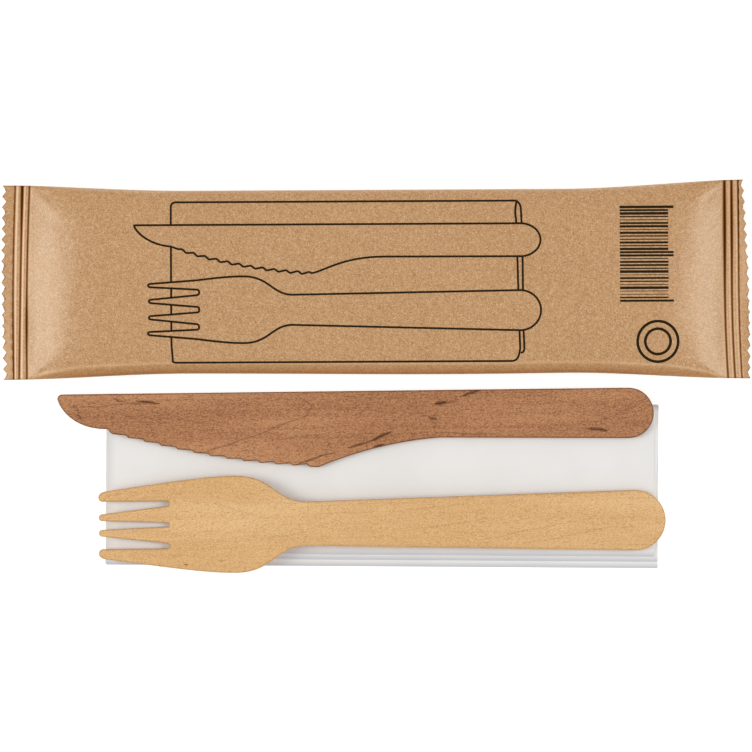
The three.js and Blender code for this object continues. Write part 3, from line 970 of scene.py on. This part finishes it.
def near_back(half, drop):
    """The back from the free edge of the fin's inner ply, round the fin's root, to the near side."""
    fin, pitch = FIN.half_width, PACKET.ply_pitch
    inner_ply = evenly([(-fin, -drop - pitch), (fin, -drop - pitch)], FIN_COLUMNS)
    root = arc((fin, -drop - pitch / 2), (pitch / 2, pitch / 2), -90, 90, FIN_ROOT_STEPS)
    corner = (under_corner(drop) * (-1, 1) - (half - PACKET.under_corner, 0))[::-1]
    under = evenly([(fin, -drop), corner[0]], UNDER_COLUMNS)
    return np.concatenate([inner_ply, root[1:-1], under, corner[1:-1]])


def far_back(half, drop):
    """The back from the far side to the fin's outer ply, which wraps down over the root."""
    fin, pitch = FIN.half_width, PACKET.ply_pitch
    corner = under_corner(drop) + (half - PACKET.under_corner, 0)
    wrap_start, wrap_end = fin + FIN.wrap, fin + FIN.clearance
    under = evenly([corner[-1], (wrap_start, -drop)], UNDER_COLUMNS)
    ease = np.linspace(0, 1, FIN_WRAP_STEPS + 1)[:, None]
    wrap = np.concatenate([wrap_start + (wrap_end - wrap_start) * ease,
                           -drop - 2 * pitch * smoothstep(ease, 0, 1)], axis=1)
    outer_ply = evenly([wrap[-1], (-fin, -drop - 2 * pitch)], FIN_COLUMNS)
    return np.concatenate([corner[1:], under[1:], wrap[1:-1], outer_ply])


def packet_section(from_left):
    """One section of the sheet, in Y and Z, from the free edge of one fin ply round to the other's."""
    from_right = PACKET.length - from_left
    from_edge = min(from_left, from_right)
    flare = PACKET.flare_left if from_left < from_right else PACKET.flare_right
    half = PACKET.width / 2 + flare * (1 - smoothstep(from_edge, 0, PACKET.flare_reach))
    share = swell(from_edge - SEAL.depth)
    pitch = PACKET.ply_pitch
    full_rise = PACKET.height - PACKET.seal_height - PACKET.paper / 2
    full_drop = PACKET.seal_height - 2 * pitch - PACKET.paper / 2
    rise = pitch / 2 + share * (full_rise - pitch / 2)
    drop = pitch / 2 + share * (full_drop - pitch / 2)
    section = np.concatenate([near_back(half, drop), packet_top(half, rise, share), far_back(half, drop)])
    bulge = PACKET.near_bulge * hump(from_left - PACKET.length / 2, PACKET.bulge_middle, PACKET.bulge_reach)
    inset = PACKET.far_inset * share
    section[:, 0] -= bulge * smoothstep(-section[:, 0], 0, half) + inset * smoothstep(section[:, 0], 0, half)
    return section


def zigzag(y, half_width, depth):
    """Triangle wave of the cutting blade: 0 at the teeth's tips, depth between them."""
    pitch = 2 * half_width / SEAL.teeth
    phase = (y + half_width) / pitch % 1
    return depth * (1 - abs(2 * phase - 1))


def seal_features(side, level, half_width, y):
    """Where the cut edge, the grooves and the seal's end lie, as distances from the packet's end."""
    lines = SEAL_LINES[side]
    cut, *grooves = (middle + lean * level + bow * level ** 2
                     for middle, lean, bow in (lines.cut, *lines.grooves))
    near_bow = lines.near_bow * np.maximum(-level, 0) ** 2
    grooves = [groove + near_bow for groove in grooves]
    cut = cut + zigzag(y, half_width, lines.teeth_depth)
    return [cut, *grooves, grooves[-1] + SEAL.depth - SEAL.grooves[-1]]


def warped_distance(side, from_edge, y, half_width):
    """The real distance from the packet's end of a row whose nominal distance is from_edge."""
    level = y / half_width
    nominal = [0.0, *SEAL.grooves, SEAL.depth, SEAL.depth + SEAL.blend]
    real = [*seal_features(side, level, half_width, y), np.full_like(y, SEAL.depth + SEAL.blend)]
    if from_edge >= nominal[-1]:
        return np.full_like(y, from_edge)
    step = int(np.searchsorted(nominal, from_edge, side="right")) - 1
    share = (from_edge - nominal[step]) / (nominal[step + 1] - nominal[step])
    return real[step] * (1 - share) + real[step + 1] * share


def waves(x, y, length, width, layer, height):
    """Height at a place of smooth waves that are about length by width."""
    return height * noise.noise(Vector((x / length, y / width, layer)))


def softness(x, y, share):
    """Slow unevenness of the filled paper, with a fine crinkle that starts nearer the seals."""
    return share * sum(waves(x, y, *swells) for swells in SWELLS) + filled(share) * waves(x, y, *CRINKLE)


def side_marks(section, share):
    """How much painted shade lies on the packet's long sides, and how much painted highlight along the near
    crease.
    """
    from_near = section[:, 0] - section[:, 0].min()
    from_far = section[:, 0].max() - section[:, 0]
    bevel = bevel_width(share)
    # painted shade over the near bevel and along the far edge, and a painted highlight on the near crease
    near = np.where(from_near < bevel, PACKET.near_stain + PACKET.foot_stain * (1 - from_near / bevel), 0)
    far = np.where(from_far < PACKET.crease_radius, PACKET.far_stain, 0)
    crease = PACKET.crease_polish * line_mark(from_near, bevel, PACKET.crease_radius)
    is_above = section[:, 1:] > 0
    return np.stack([np.maximum(near, far), crease], axis=1) * is_above * filled(share)


def pucker(x, y, half_width):
    """Small folds that fan out from the corners where the paper is gathered into a seal."""
    away_x = PACKET.length / 2 - SEAL.depth - abs(x)
    away_y = half_width - abs(y)
    reach = math.hypot(away_x, away_y) / PACKET.pucker_reach
    fan = math.cos(PACKET.pucker_folds * math.atan2(away_y, away_x) + math.copysign(1, x))
    return PACKET.pucker * math.exp(-reach ** 2) * min(1.0, PACKET.pucker_rise * reach) * fan


def packet_sheet():
    """The wrapped sheet as a grid of points, with its flat place and its marks of crushed browning, painted
    shade and painted highlight.
    """
    half_length = PACKET.length / 2
    grid, flat, marks = [], [], []
    for from_left in packet_rows():
        section = packet_section(from_left)
        y, height = section.T
        from_right = PACKET.length - from_left
        side, from_edge = ("left", from_left) if from_left < from_right else ("right", from_right)
        half_width = y.max()
        distance = warped_distance(side, from_edge, y, half_width)
        x = distance - half_length if side == "left" else half_length - distance
        share = float(swell(from_edge - SEAL.depth))
        bow = SEAL.bow * (1 - share) * np.sin(y / SEAL.bow_length + SEAL.bow_phase[side])
        upper = np.clip(height / PACKET.uneven_above, 0, 1)
        uneven = np.array([softness(a, b, share) + pucker(a, b, half_width) for a, b in zip(x, y)])
        grid.append(np.column_stack([x, y, height + crimp(from_edge) + bow + upper * uneven]))
        along = along_line(section)
        flat.append(np.column_stack([np.full_like(along, from_left), along, np.zeros_like(along)]))
        marks.append(np.maximum(crimp_marks(side, from_edge, y / half_width), side_marks(section, share)))
    return np.array(grid), np.array(flat), np.array(marks)


def make_wrapper(material):
    grid, flat, crimped = packet_sheet()
    points, faces = paper_skin(grid, PACKET.paper)
    matrix = laying(points, PACKET.turn, "wrapper")
    both_sides = np.tile(flat.reshape(-1, 3), (2, 1))
    groove, painted_highlight = (np.tile(crimped[:, :, k].ravel(), 2) for k in (0, 1))
    wrapper = mesh_object("kraft_wrapper", points, faces, matrix, material, both_sides,
                          marks={SHADE_AND_BROWNING: groove, PAINTED_HIGHLIGHT: painted_highlight})
    return wrapper, matrix


# ---------------------------------------------------------------- print


def drawn_knife():
    """Outline of the drawn knife, clockwise from its tip along the back."""
    size = DRAWN_KNIFE
    start, end = size.handle_end
    half = size.handle_depth / 2
    handle = arc((start, -half), (end - start, half), 90, -90)
    heel = bezier(size.blade[-1], *size.heel)[::-1]
    edge = evenly(np.concatenate([[size.blade[0]], bezier(*size.blade)]), size.edge_steps)
    phase = np.linspace(0, 2 * math.pi * size.waves, len(edge))
    edge[:, 1] += size.wave_height * np.sin(phase - size.wave_lean * np.sin(phase))
    belly = np.concatenate([[(0.0, 0.0)], bezier((0.0, 0.0), *size.belly)])[::-1]
    outline = np.concatenate([[(0.0, 0.0)], handle, heel, edge[::-1], belly[:-1]])
    return outline + size.tip


def drawn_fork():
    """Outline of the drawn fork: tines of its own on the real fork's slimmed side and handle."""
    size = DRAWN_FORK
    outer, inner = size.tines
    line = [(size.slot_root, 0.0), (size.slot_root, size.slot_half_width)]
    for way in (-1, 1):
        line.append((size.inner_tine_back, inner + way * size.tine_half_width))
    for way in (-1, 1):
        line.append((size.slot_root, size.side_slot + way * size.slot_half_width))
    for way in (-1, 1):
        line.append((0.0, outer + way * size.tine_half_width))
    body = half_fork_outline()
    body = body[body[:, 1] > 0] * size.scale
    body[:, 1] *= 1 - size.slimming * smoothstep(body[:, 0], 0, FORK.length * size.scale)
    join_x, join_rise = size.join
    start = next(k for k, (x, y) in enumerate(body) if y > outer + join_rise and x > join_x)
    head = rounded([*line, tuple(body[start])], size.fillet)
    end = [(FORK.length * size.scale, 0.0)]
    half = np.concatenate([head, body[start + 1:], end])
    return turned(mirrored(half), size.turn) + size.tip


def napkin_lines():
    """The drawn napkin: one rounded outline, and the double line of its fold on the right."""
    size = DRAWN_NAPKIN
    top_right = (size.right, size.top)
    left_foot = size.left + size.slant
    upper_rise, lower_rise = size.slant_rises
    right_side, roll = ([(size.right + x, y) for x, y in side] for side in (size.right_side, size.roll))
    outline = [top_right, (size.left, size.top), (size.left, size.bottom + upper_rise),
               (left_foot, size.bottom + lower_rise), (left_foot, size.bottom), *right_side, top_right]
    return [rounded(line, size.corner) for line in (outline, [top_right, *roll])]


def visible_runs(line, covers):
    """The stretches of a line that lie outside the outlines drawn over it."""
    hidden = np.zeros(len(line), bool)
    for cover in covers:
        hidden |= inside(line, cover)
    runs, current = [], []
    for point, is_hidden in zip(line, hidden):
        if is_hidden:
            runs.append(current)
            current = []
        else:
            current.append(point)
    runs.append(current)
    return [np.array(run) for run in runs if len(run) > 1]


def path_object(name, lines, matrix, material):
    """Lines as one mesh of edges, flat on the table."""
    points, edges = [], []
    for line in lines:
        first = len(points)
        is_loop = np.allclose(line[0], line[-1])
        kept = line[:-1] if is_loop else line
        points += [(*p, 0.0) for p in kept]
        edges += [(first + k, first + k + 1) for k in range(len(kept) - 1)]
        if is_loop:
            edges.append((first + len(kept) - 1, first))
    return mesh_object(name, points, [], matrix, material, edges=edges)


def geometry_tree(name, inputs):
    """A Geometry Nodes tree with named inputs, as a net and the inputs' wires by name."""
    tree = bpy.data.node_groups.new(name, "GeometryNodeTree")
    tree.interface.new_socket("Geometry", in_out="INPUT", socket_type="NodeSocketGeometry")
    for label, kind in inputs.items():
        tree.interface.new_socket(label, in_out="INPUT", socket_type=kind)
    tree.interface.new_socket("Geometry", in_out="OUTPUT", socket_type="NodeSocketGeometry")
    net = Net(tree)
    start = tree.nodes.new("NodeGroupInput")
    given = {socket.name: Wire(net, socket) for socket in start.outputs if socket.name}
    return net, given


def close_tree(net, shape):
    end = net.tree.nodes.new("NodeGroupOutput")
    net.tree.links.new(shape.socket, end.inputs[0])
    return net.tree


def laid_on(net, shape, target, lift):
    """Drops every vertex of a flat shape onto the surface under it, keeping its own small height."""
    x, y, z = net.parts(net.add("GeometryNodeInputPosition"))
    surface = net.add("GeometryNodeObjectInfo", {"transform_space": "ORIGINAL"}, {
        "Object": target}, "Geometry")
    ray = net.add("GeometryNodeRaycast", None, {
        "Target Geometry": surface, "Source Position": net.combine(x, y, RAY_HEIGHT),
        "Ray Direction": (0.0, 0.0, -1.0), "Ray Length": 2 * RAY_HEIGHT}, "Hit Position")
    _, _, hit = net.parts(ray)
    return net.add("GeometryNodeSetPosition", None, {
        "Geometry": shape, "Position": net.combine(x, y, hit + lift + z)})


def printed_line_tree():
    """A line of ink: a flat film of even width that follows a path over the paper."""
    net, given = geometry_tree("printed_line", {
        "Line Width": "NodeSocketFloat", "Film": "NodeSocketFloat", "Lift": "NodeSocketFloat",
        "Paper": "NodeSocketObject", "Ink": "NodeSocketMaterial"})
    path = net.add("GeometryNodeMeshToCurve", None, {"Mesh": given["Geometry"]})
    path = net.add("GeometryNodeSetCurveNormal", {"mode": "Z_UP"}, {"Curve": path})
    profile = net.add("GeometryNodeCurvePrimitiveQuadrilateral", None, {
        "Width": given["Line Width"], "Height": given["Film"]})
    film = net.add("GeometryNodeCurveToMesh", None, {
        "Curve": path, "Profile Curve": profile, "Fill Caps": True})
    laid = laid_on(net, film, given["Paper"], given["Lift"])
    real = net.add("GeometryNodeRealizeInstances", None, {"Geometry": laid})
    inked = net.add("GeometryNodeSetMaterial", None, {"Geometry": real, "Material": given["Ink"]})
    return close_tree(net, inked)


def printed_bars_tree():
    """A field of stripes of random thickness, laid on the paper. Guard stretches the outermost pair and
    the middle pair."""
    net, given = geometry_tree("printed_bars", {
        "Count": "NodeSocketInt", "Pitch": "NodeSocketFloat", "Length": "NodeSocketFloat",
        "Thinnest": "NodeSocketFloat", "Thickest": "NodeSocketFloat", "Seed": "NodeSocketInt",
        "Guard": "NodeSocketFloat", "Corner": "NodeSocketVector", "Turn": "NodeSocketVector",
        "Film": "NodeSocketFloat", "Lift": "NodeSocketFloat", "Paper": "NodeSocketObject",
        "Ink": "NodeSocketMaterial"})
    line = net.add("GeometryNodeMeshLine", None, {
        "Count": given["Count"], "Start Location": (0.0, 0.0, 0.0),
        "Offset": net.combine(0.0, given["Pitch"])})
    size = net.combine(given["Length"], given["Pitch"], given["Film"])
    bar = net.add("GeometryNodeMeshCube", None, {"Size": size, "Vertices X": BARS.columns}, "Mesh")
    bar = net.add("GeometryNodeTransform", None, {
        "Geometry": bar, "Translation": net.combine(given["Length"] / 2, 0.0)})
    thickness = net.add("FunctionNodeRandomValue", {"data_type": "FLOAT"}, {
        "Min_001": given["Thinnest"], "Max_001": given["Thickest"], "Seed": given["Seed"]}, "Value_001")
    place_in_half = net.math("MODULO", net.add("GeometryNodeInputIndex") + 1, given["Count"] / 2)
    is_guard = net.math("LESS_THAN", place_in_half, BARS.guard_pair)
    bars = net.add("GeometryNodeInstanceOnPoints", None, {
        "Points": line, "Instance": bar,
        "Scale": net.combine(1 + is_guard * (given["Guard"] - 1), thickness, 1.0)})
    real = net.add("GeometryNodeRealizeInstances", None, {"Geometry": bars})
    moved = net.add("GeometryNodeTransform", None, {
        "Geometry": real, "Translation": given["Corner"], "Rotation": given["Turn"]})
    laid = laid_on(net, moved, given["Paper"], given["Lift"])
    inked = net.add("GeometryNodeSetMaterial", None, {"Geometry": laid, "Material": given["Ink"]})
    return close_tree(net, inked)


def grown(name, base, tree, values):
    """Runs a tree on an object and keeps the result as a plain mesh object."""
    modifier = base.modifiers.new("growth", "NODES")
    modifier.node_group = tree
    for item in tree.interface.items_tree:
        if item.in_out == "INPUT" and item.name in values:
            modifier[item.identifier] = values[item.name]
    bpy.context.view_layer.update()
    evaluated = base.evaluated_get(bpy.context.evaluated_depsgraph_get())
    mesh = bpy.data.meshes.new_from_object(evaluated)
    base.modifiers.remove(modifier)
    bpy.data.objects.remove(base)
    mesh.name = name
    thing = bpy.data.objects.new(name, mesh)
    bpy.context.scene.collection.objects.link(thing)
    return thing


def print_drawing(on_table, ink, tree, common):
    """The drawn knife, fork and napkin. The napkin's lines stop where the cutlery covers them."""
    knife, fork = drawn_knife(), drawn_fork()
    lines = [dense(closed(outline), INK_STEP) for outline in (knife, fork)]
    for line in napkin_lines():
        lines += visible_runs(dense(line, HIDDEN_STEP), [knife, fork])
    path = path_object("drawing_path", lines, on_table, ink)
    return grown("printed_drawing", path, tree, {"Line Width": INK_LINE * MM, **common})


def print_plate_symbol(on_table, ink, tree, common):
    circles = [arc(PLATE_SYMBOL.centre, (radius, radius), 0, 360, CIRCLE_STEPS)
               for radius in PLATE_SYMBOL.radii]
    path = path_object("symbol_path", circles, on_table, ink)
    return grown("printed_plate_symbol", path, tree, {"Line Width": PLATE_SYMBOL.line * MM, **common})


def print_stripes(on_table, ink, common):
    base = mesh_object("bar_base", [(0.0, 0.0, 0.0)], [], Matrix.Identity(4), ink)
    length, height = BARS.size
    pitch = height / BARS.count
    start = Vector((BARS.corner[0], BARS.corner[1] + pitch / 2, 0.0))
    return grown("printed_stripes", base, printed_bars_tree(), {
        "Count": BARS.count, "Pitch": pitch * MM, "Length": length * MM, "Seed": BARS.seed,
        "Thinnest": BARS.thinnest, "Thickest": BARS.thickest, "Guard": BARS.guard,
        "Corner": on_table @ start, "Turn": Vector((0.0, 0.0, PACKET.turn)), **common})


def make_print(wrapper, matrix, ink):
    """The drawing, the plate symbol and the stripes, all of ink on the packet."""
    on_table = matrix.copy()
    on_table.translation.z = 0.0
    tree = printed_line_tree()
    common = {"Film": INK_FILM * MM, "Lift": INK_LIFT * MM, "Paper": wrapper, "Ink": ink}
    drawing = print_drawing(on_table, ink, tree, common)
    symbol = print_plate_symbol(on_table, ink, tree, common)
    return [drawing, symbol, print_stripes(on_table, ink, common)]


# ---------------------------------------------------------------- napkin


def fan_section():
    """The doubled sheet's fan of seven panels from the bottom up, as the line between its two plies: points
    in Y and height, the panel that each belongs to and how much painted shade its fold gives it."""
    half = NAPKIN.width / 2
    pitch = 2 * NAPKIN.ply_pitch
    radius = pitch / 2
    far = [half - inset for inset in NAPKIN.back_insets] + [half - NAPKIN.raw_inset]
    near = [-half + NAPKIN.raw_inset] + [-half + inset for inset in NAPKIN.front_insets]
    last_panel = 2 * len(NAPKIN.front_insets)
    line, panels, folds = [], [], []
    for panel in range(last_panel + 1):
        height = (panel + 0.5) * pitch
        goes_far = panel % 2 == 0
        way = 1 if goes_far else -1
        start = near[(panel + 1) // 2] if goes_far else far[panel // 2]
        end = far[panel // 2] if goes_far else near[(panel + 1) // 2]
        start += way * radius * (panel > 0)
        turn = end - way * radius * (panel < last_panel)
        fold = way * NAPKIN.fold_width
        inner = np.linspace(start + fold, turn - fold, NAPKIN.panel_steps)
        across = np.concatenate([[start], inner, [turn]])
        line.append(np.column_stack([across, np.full_like(across, height)]))
        marks = [1.0, *[0.0] * NAPKIN.panel_steps, 1.0]
        if panel < last_panel:
            nose = arc((turn, height + radius), (way * radius, radius), -90, 90, NAPKIN.nose_steps)[1:-1]
            line.append(nose)
            marks += [1.0] * len(nose)
        panels += [panel] * len(marks)
        folds += marks
    folds[-1] = 0.0
    return np.concatenate(line), np.array(panels), np.array(folds)


def napkin_ends(along_v, panels, height):
    """X of the cut left end and of the fold line at the right end, for each point of the section."""
    hidden = along_v[panels == panels[-1] - 1]
    shift = NAPKIN.end_shift * smoothstep(along_v, hidden[0], hidden[-1])
    right = NAPKIN.length / 2 - NAPKIN.ply_pitch / 2 - NAPKIN.paper / 2 - shift
    ragged = [noise.noise(Vector((v / NAPKIN.ragged_length, NAPKIN.ragged_layer, 0))) for v in along_v]
    left = -NAPKIN.length / 2 + NAPKIN.stagger * height + NAPKIN.ragged * np.array(ragged)
    return left, right


def napkin_rows(left, right):
    """Rows along the doubled sheet: how far along the flat sheet, X, and the ply, which is -1 for the
    lower one, 1 for the upper one and between them on the folded end."""
    length = right - left
    rows = [(length * share, left + length * share, -1.0)
            for share in np.linspace(0, 1, NAPKIN.length_steps + 1)]
    for angle in np.radians(np.linspace(-90, 90, NAPKIN.nose_steps + 1)[1:-1]):
        rows.append((length, right + NAPKIN.ply_pitch / 2 * math.cos(angle), math.sin(angle)))
    back_left = left + NAPKIN.cut_step
    for share in np.linspace(1, 0, NAPKIN.length_steps + 1):
        rows.append((length * (2 - share), back_left + (right - back_left) * share, 1.0))
    return rows


def napkin_sag(x, y):
    """How far the paper has sunk at a place, from 0 to 1."""
    length, width = NAPKIN.sag_waves
    return np.clip(0.5 + 0.5 * noise.noise(Vector((x / length, y / width, NAPKIN.sag_layer))), 0, 1)


def napkin_sheet():
    """The sheet doubled at its right end and then fanned: a grid of points, flat places and the painted shade
    of its folds.
    """
    section, panels, folds = fan_section()
    along_v = along_line(section)
    heading = np.gradient(section, axis=0)
    normal = np.column_stack([-heading[:, 1], heading[:, 0]])
    normal /= np.linalg.norm(normal, axis=1, keepdims=True)
    grid, flat, marks = [], [], []
    for along_u, x, side in napkin_rows(*napkin_ends(along_v, panels, section[:, 1])):
        y, height = (section + normal * side * NAPKIN.ply_pitch / 2).T
        sag = np.array([napkin_sag(a, b) for a, b in zip(x, y)])
        grid.append(np.column_stack([x, y, height * (1 - NAPKIN.sag * sag)]))
        flat.append(np.column_stack([along_u, along_v, np.zeros_like(along_v)]))
        marks.append(folds)
    return np.array(grid), np.array(flat), np.array(marks)


def make_napkin(material):
    grid, flat, folds = napkin_sheet()
    points, faces = paper_skin(grid, NAPKIN.paper)
    matrix = laying(points, NAPKIN.turn, "napkin")
    both_sides = np.tile(flat.reshape(-1, 3), (2, 1))
    marks = {FOLD_SHADE: np.tile(folds.ravel(), 2)}
    return mesh_object("folded_napkin", points, faces, matrix, material, both_sides, marks=marks)


# ---------------------------------------------------------------- knife


def knife_outline():
    """Counter-clockwise from the tip down the belly, along the teeth and round the handle."""
    nose = arc((KNIFE.nose_radius, -KNIFE.nose_radius), (KNIFE.nose_radius,) * 2, 90, 180, KNIFE.nose_steps)
    belly = bezier(nose[-1], *KNIFE.belly)
    blade = np.concatenate([[KNIFE.blade[0]], bezier(*KNIFE.blade, steps=KNIFE.blade_steps)])
    teeth = []
    for k in range(KNIFE.teeth):
        x = KNIFE.first_tooth + k * KNIFE.tooth_pitch
        low = float(np.interp(x + KNIFE.tooth_run / 2, blade[:, 0], blade[:, 1]))
        teeth.append((x - KNIFE.tooth_run / 2, low + KNIFE.tooth_step))
        teeth.append((x + KNIFE.tooth_run / 2, low))
    heel = np.array(KNIFE.blade[-1])
    turn = [heel - (KNIFE.heel_radius, 0), heel, heel + (KNIFE.heel_radius, KNIFE.heel_rise)]
    edge = rounded([belly[-1], *teeth, *turn], KNIFE.tooth_corner, KNIFE.corner_steps)
    neck = bezier(edge[-1], *KNIFE.neck)
    end_x = KNIFE.length - KNIFE.end_radius
    end = arc((end_x, -KNIFE.end_radius), (KNIFE.end_radius,) * 2, -90, 90, KNIFE.end_steps)
    return np.concatenate([nose, belly[:-1], edge, neck, end])


def flat_underside(x, _):
    return np.zeros_like(x)


def make_knife(material):
    outline = knife_outline()
    points, faces, marks = board(
        outline, KNIFE.thickness, KNIFE.edge_radius, flat_underside, KNIFE.grid_step)
    matrix = laying(points, KNIFE.turn, "knife")
    return mesh_object("serrated_knife", points, faces, matrix, material, marks=marks)


# ---------------------------------------------------------------- fork


def half_fork_outline():
    """The half above the X axis, from the middle slot out to the tines and on to the handle's end."""
    corner, steps = FORK.slot_corner, FORK.corner_steps
    inner_tip = FORK.inner_tine_back + FORK.tine_radius
    middle = (FORK.centre_slot_tip + FORK.side_slot_inner) / 2
    root = FORK.tine_length
    slot = rounded([
        (root, 0.0), (root, FORK.centre_slot_root), (inner_tip, FORK.centre_slot_tip)], corner, steps)
    inner_tine = arc((inner_tip, middle), (-FORK.tine_radius, FORK.side_slot_inner - middle),
                     -90, 90, FORK.tine_steps)
    side_slot = rounded([
        (inner_tip, FORK.side_slot_inner), (root, FORK.side_slot_inner_root), (root, FORK.side_slot_outer),
        (FORK.outer_tine_start, FORK.side_slot_outer)], corner, steps)
    outer_tine = bezier(side_slot[-1], *FORK.outer_tip, steps=FORK.tine_steps)
    side = bezier(outer_tine[-1], *FORK.side)
    shoulder = bezier(side[-1], *FORK.shoulder)
    end = arc((FORK.length - FORK.end_radius, 0.0), (FORK.end_radius,) * 2, 90, 0)
    return np.concatenate([slot[:-1], inner_tine, side_slot[1:], outer_tine, side, shoulder, end])


def fork_underside(x, y):
    """Height of the pressed blank: tines up, bowl down, neck arched, handle's end down again."""
    tines = FORK.tine_lift * (np.maximum(FORK.bowl_bottom - x, 0) / FORK.bowl_bottom) ** 2
    neck = FORK.crest_lift * smoothstep(x, FORK.bowl_bottom, FORK.crest)
    run = np.clip((x - FORK.crest) / (FORK.length - FORK.crest), 0, None)
    dish = smoothstep(x, FORK.dish_start, FORK.bowl_bottom)
    dish = dish * (1 - smoothstep(x, FORK.bowl_bottom, FORK.dish_end))
    return tines + neck * (1 - run ** FORK.handle_power) + FORK.dish_depth * dish * (y / FORK.half_width) ** 2


def make_fork(material):
    outline = mirrored(half_fork_outline())[::-1]
    points, faces, marks = board(
        outline, FORK.thickness, FORK.edge_radius, fork_underside, FORK.grid_step)
    matrix = laying(points, FORK.turn, "fork")
    return mesh_object("four_tine_fork", points, faces, matrix, material, marks=marks)


# ---------------------------------------------------------------- studio


def make_floor():
    corners = [(x * FLOOR_HALF, y * FLOOR_HALF, 0) for x, y in ((-1, -1), (1, -1), (1, 1), (-1, 1))]
    floor = mesh_object("floor", corners, [(0, 1, 2, 3)], Matrix.Identity(4), plain_white())


def area_light(name, place, size, power):
    """A rectangular lamp that points at the middle of the set."""
    light = bpy.data.lights.new(name, "AREA")
    light.shape = "RECTANGLE"
    light.size, light.size_y = size
    light.energy = power
    lamp = bpy.data.objects.new(name, light)
    lamp.location = place
    lamp.rotation_euler = (Vector() - Vector(place)).to_track_quat("-Z", "Y").to_euler()
    bpy.context.scene.collection.objects.link(lamp)


def make_lights():
    for side, way in (("left", -1), ("right", 1)):
        area_light("light_" + side, (way * LIGHT_REACH, 0.0, LIGHT_HEIGHT), LIGHT_SIZE, LIGHT_POWER[side])
    world = bpy.data.worlds.new("studio")
    world.use_nodes = True
    background = world.node_tree.nodes["Background"]
    background.inputs["Color"].default_value = WHITE
    background.inputs["Strength"].default_value = WORLD_STRENGTH
    bpy.context.scene.world = world
    bpy.context.scene.view_settings.view_transform = "Standard"


def make_camera():
    low, high = CAD_BOX
    data = bpy.data.cameras.new("camera")
    data.lens = LENS
    data.sensor_width = SENSOR
    camera = bpy.data.objects.new("camera", data)
    distance = VIEW_WIDTH * MM * LENS / SENSOR
    camera.location = ((low[0] + high[0]) / 2, (low[1] + high[1]) / 2, FOCUS_HEIGHT * MM + distance)
    bpy.context.scene.collection.objects.link(camera)
    bpy.context.scene.camera = camera


# ---------------------------------------------------------------- the set


def main():
    make_camera()
    make_floor()
    make_lights()

    wrapper, matrix = make_wrapper(kraft_paper())
    prints = make_print(wrapper, matrix, printing_ink())
    napkin = make_napkin(napkin_tissue())
    knife = make_knife(knife_wood())
    fork = make_fork(fork_wood())

    for piece, node, slot in (
        (wrapper, "wrapper", "kraft_paper"),
        (napkin, "napkin", "napkin_tissue"),
        (knife, "knife", "knife_wood"),
        (fork, "fork", "fork_wood"),
    ):
        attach(piece, "root")
        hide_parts(node)
    for piece in prints:
        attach(piece, "root")


main()
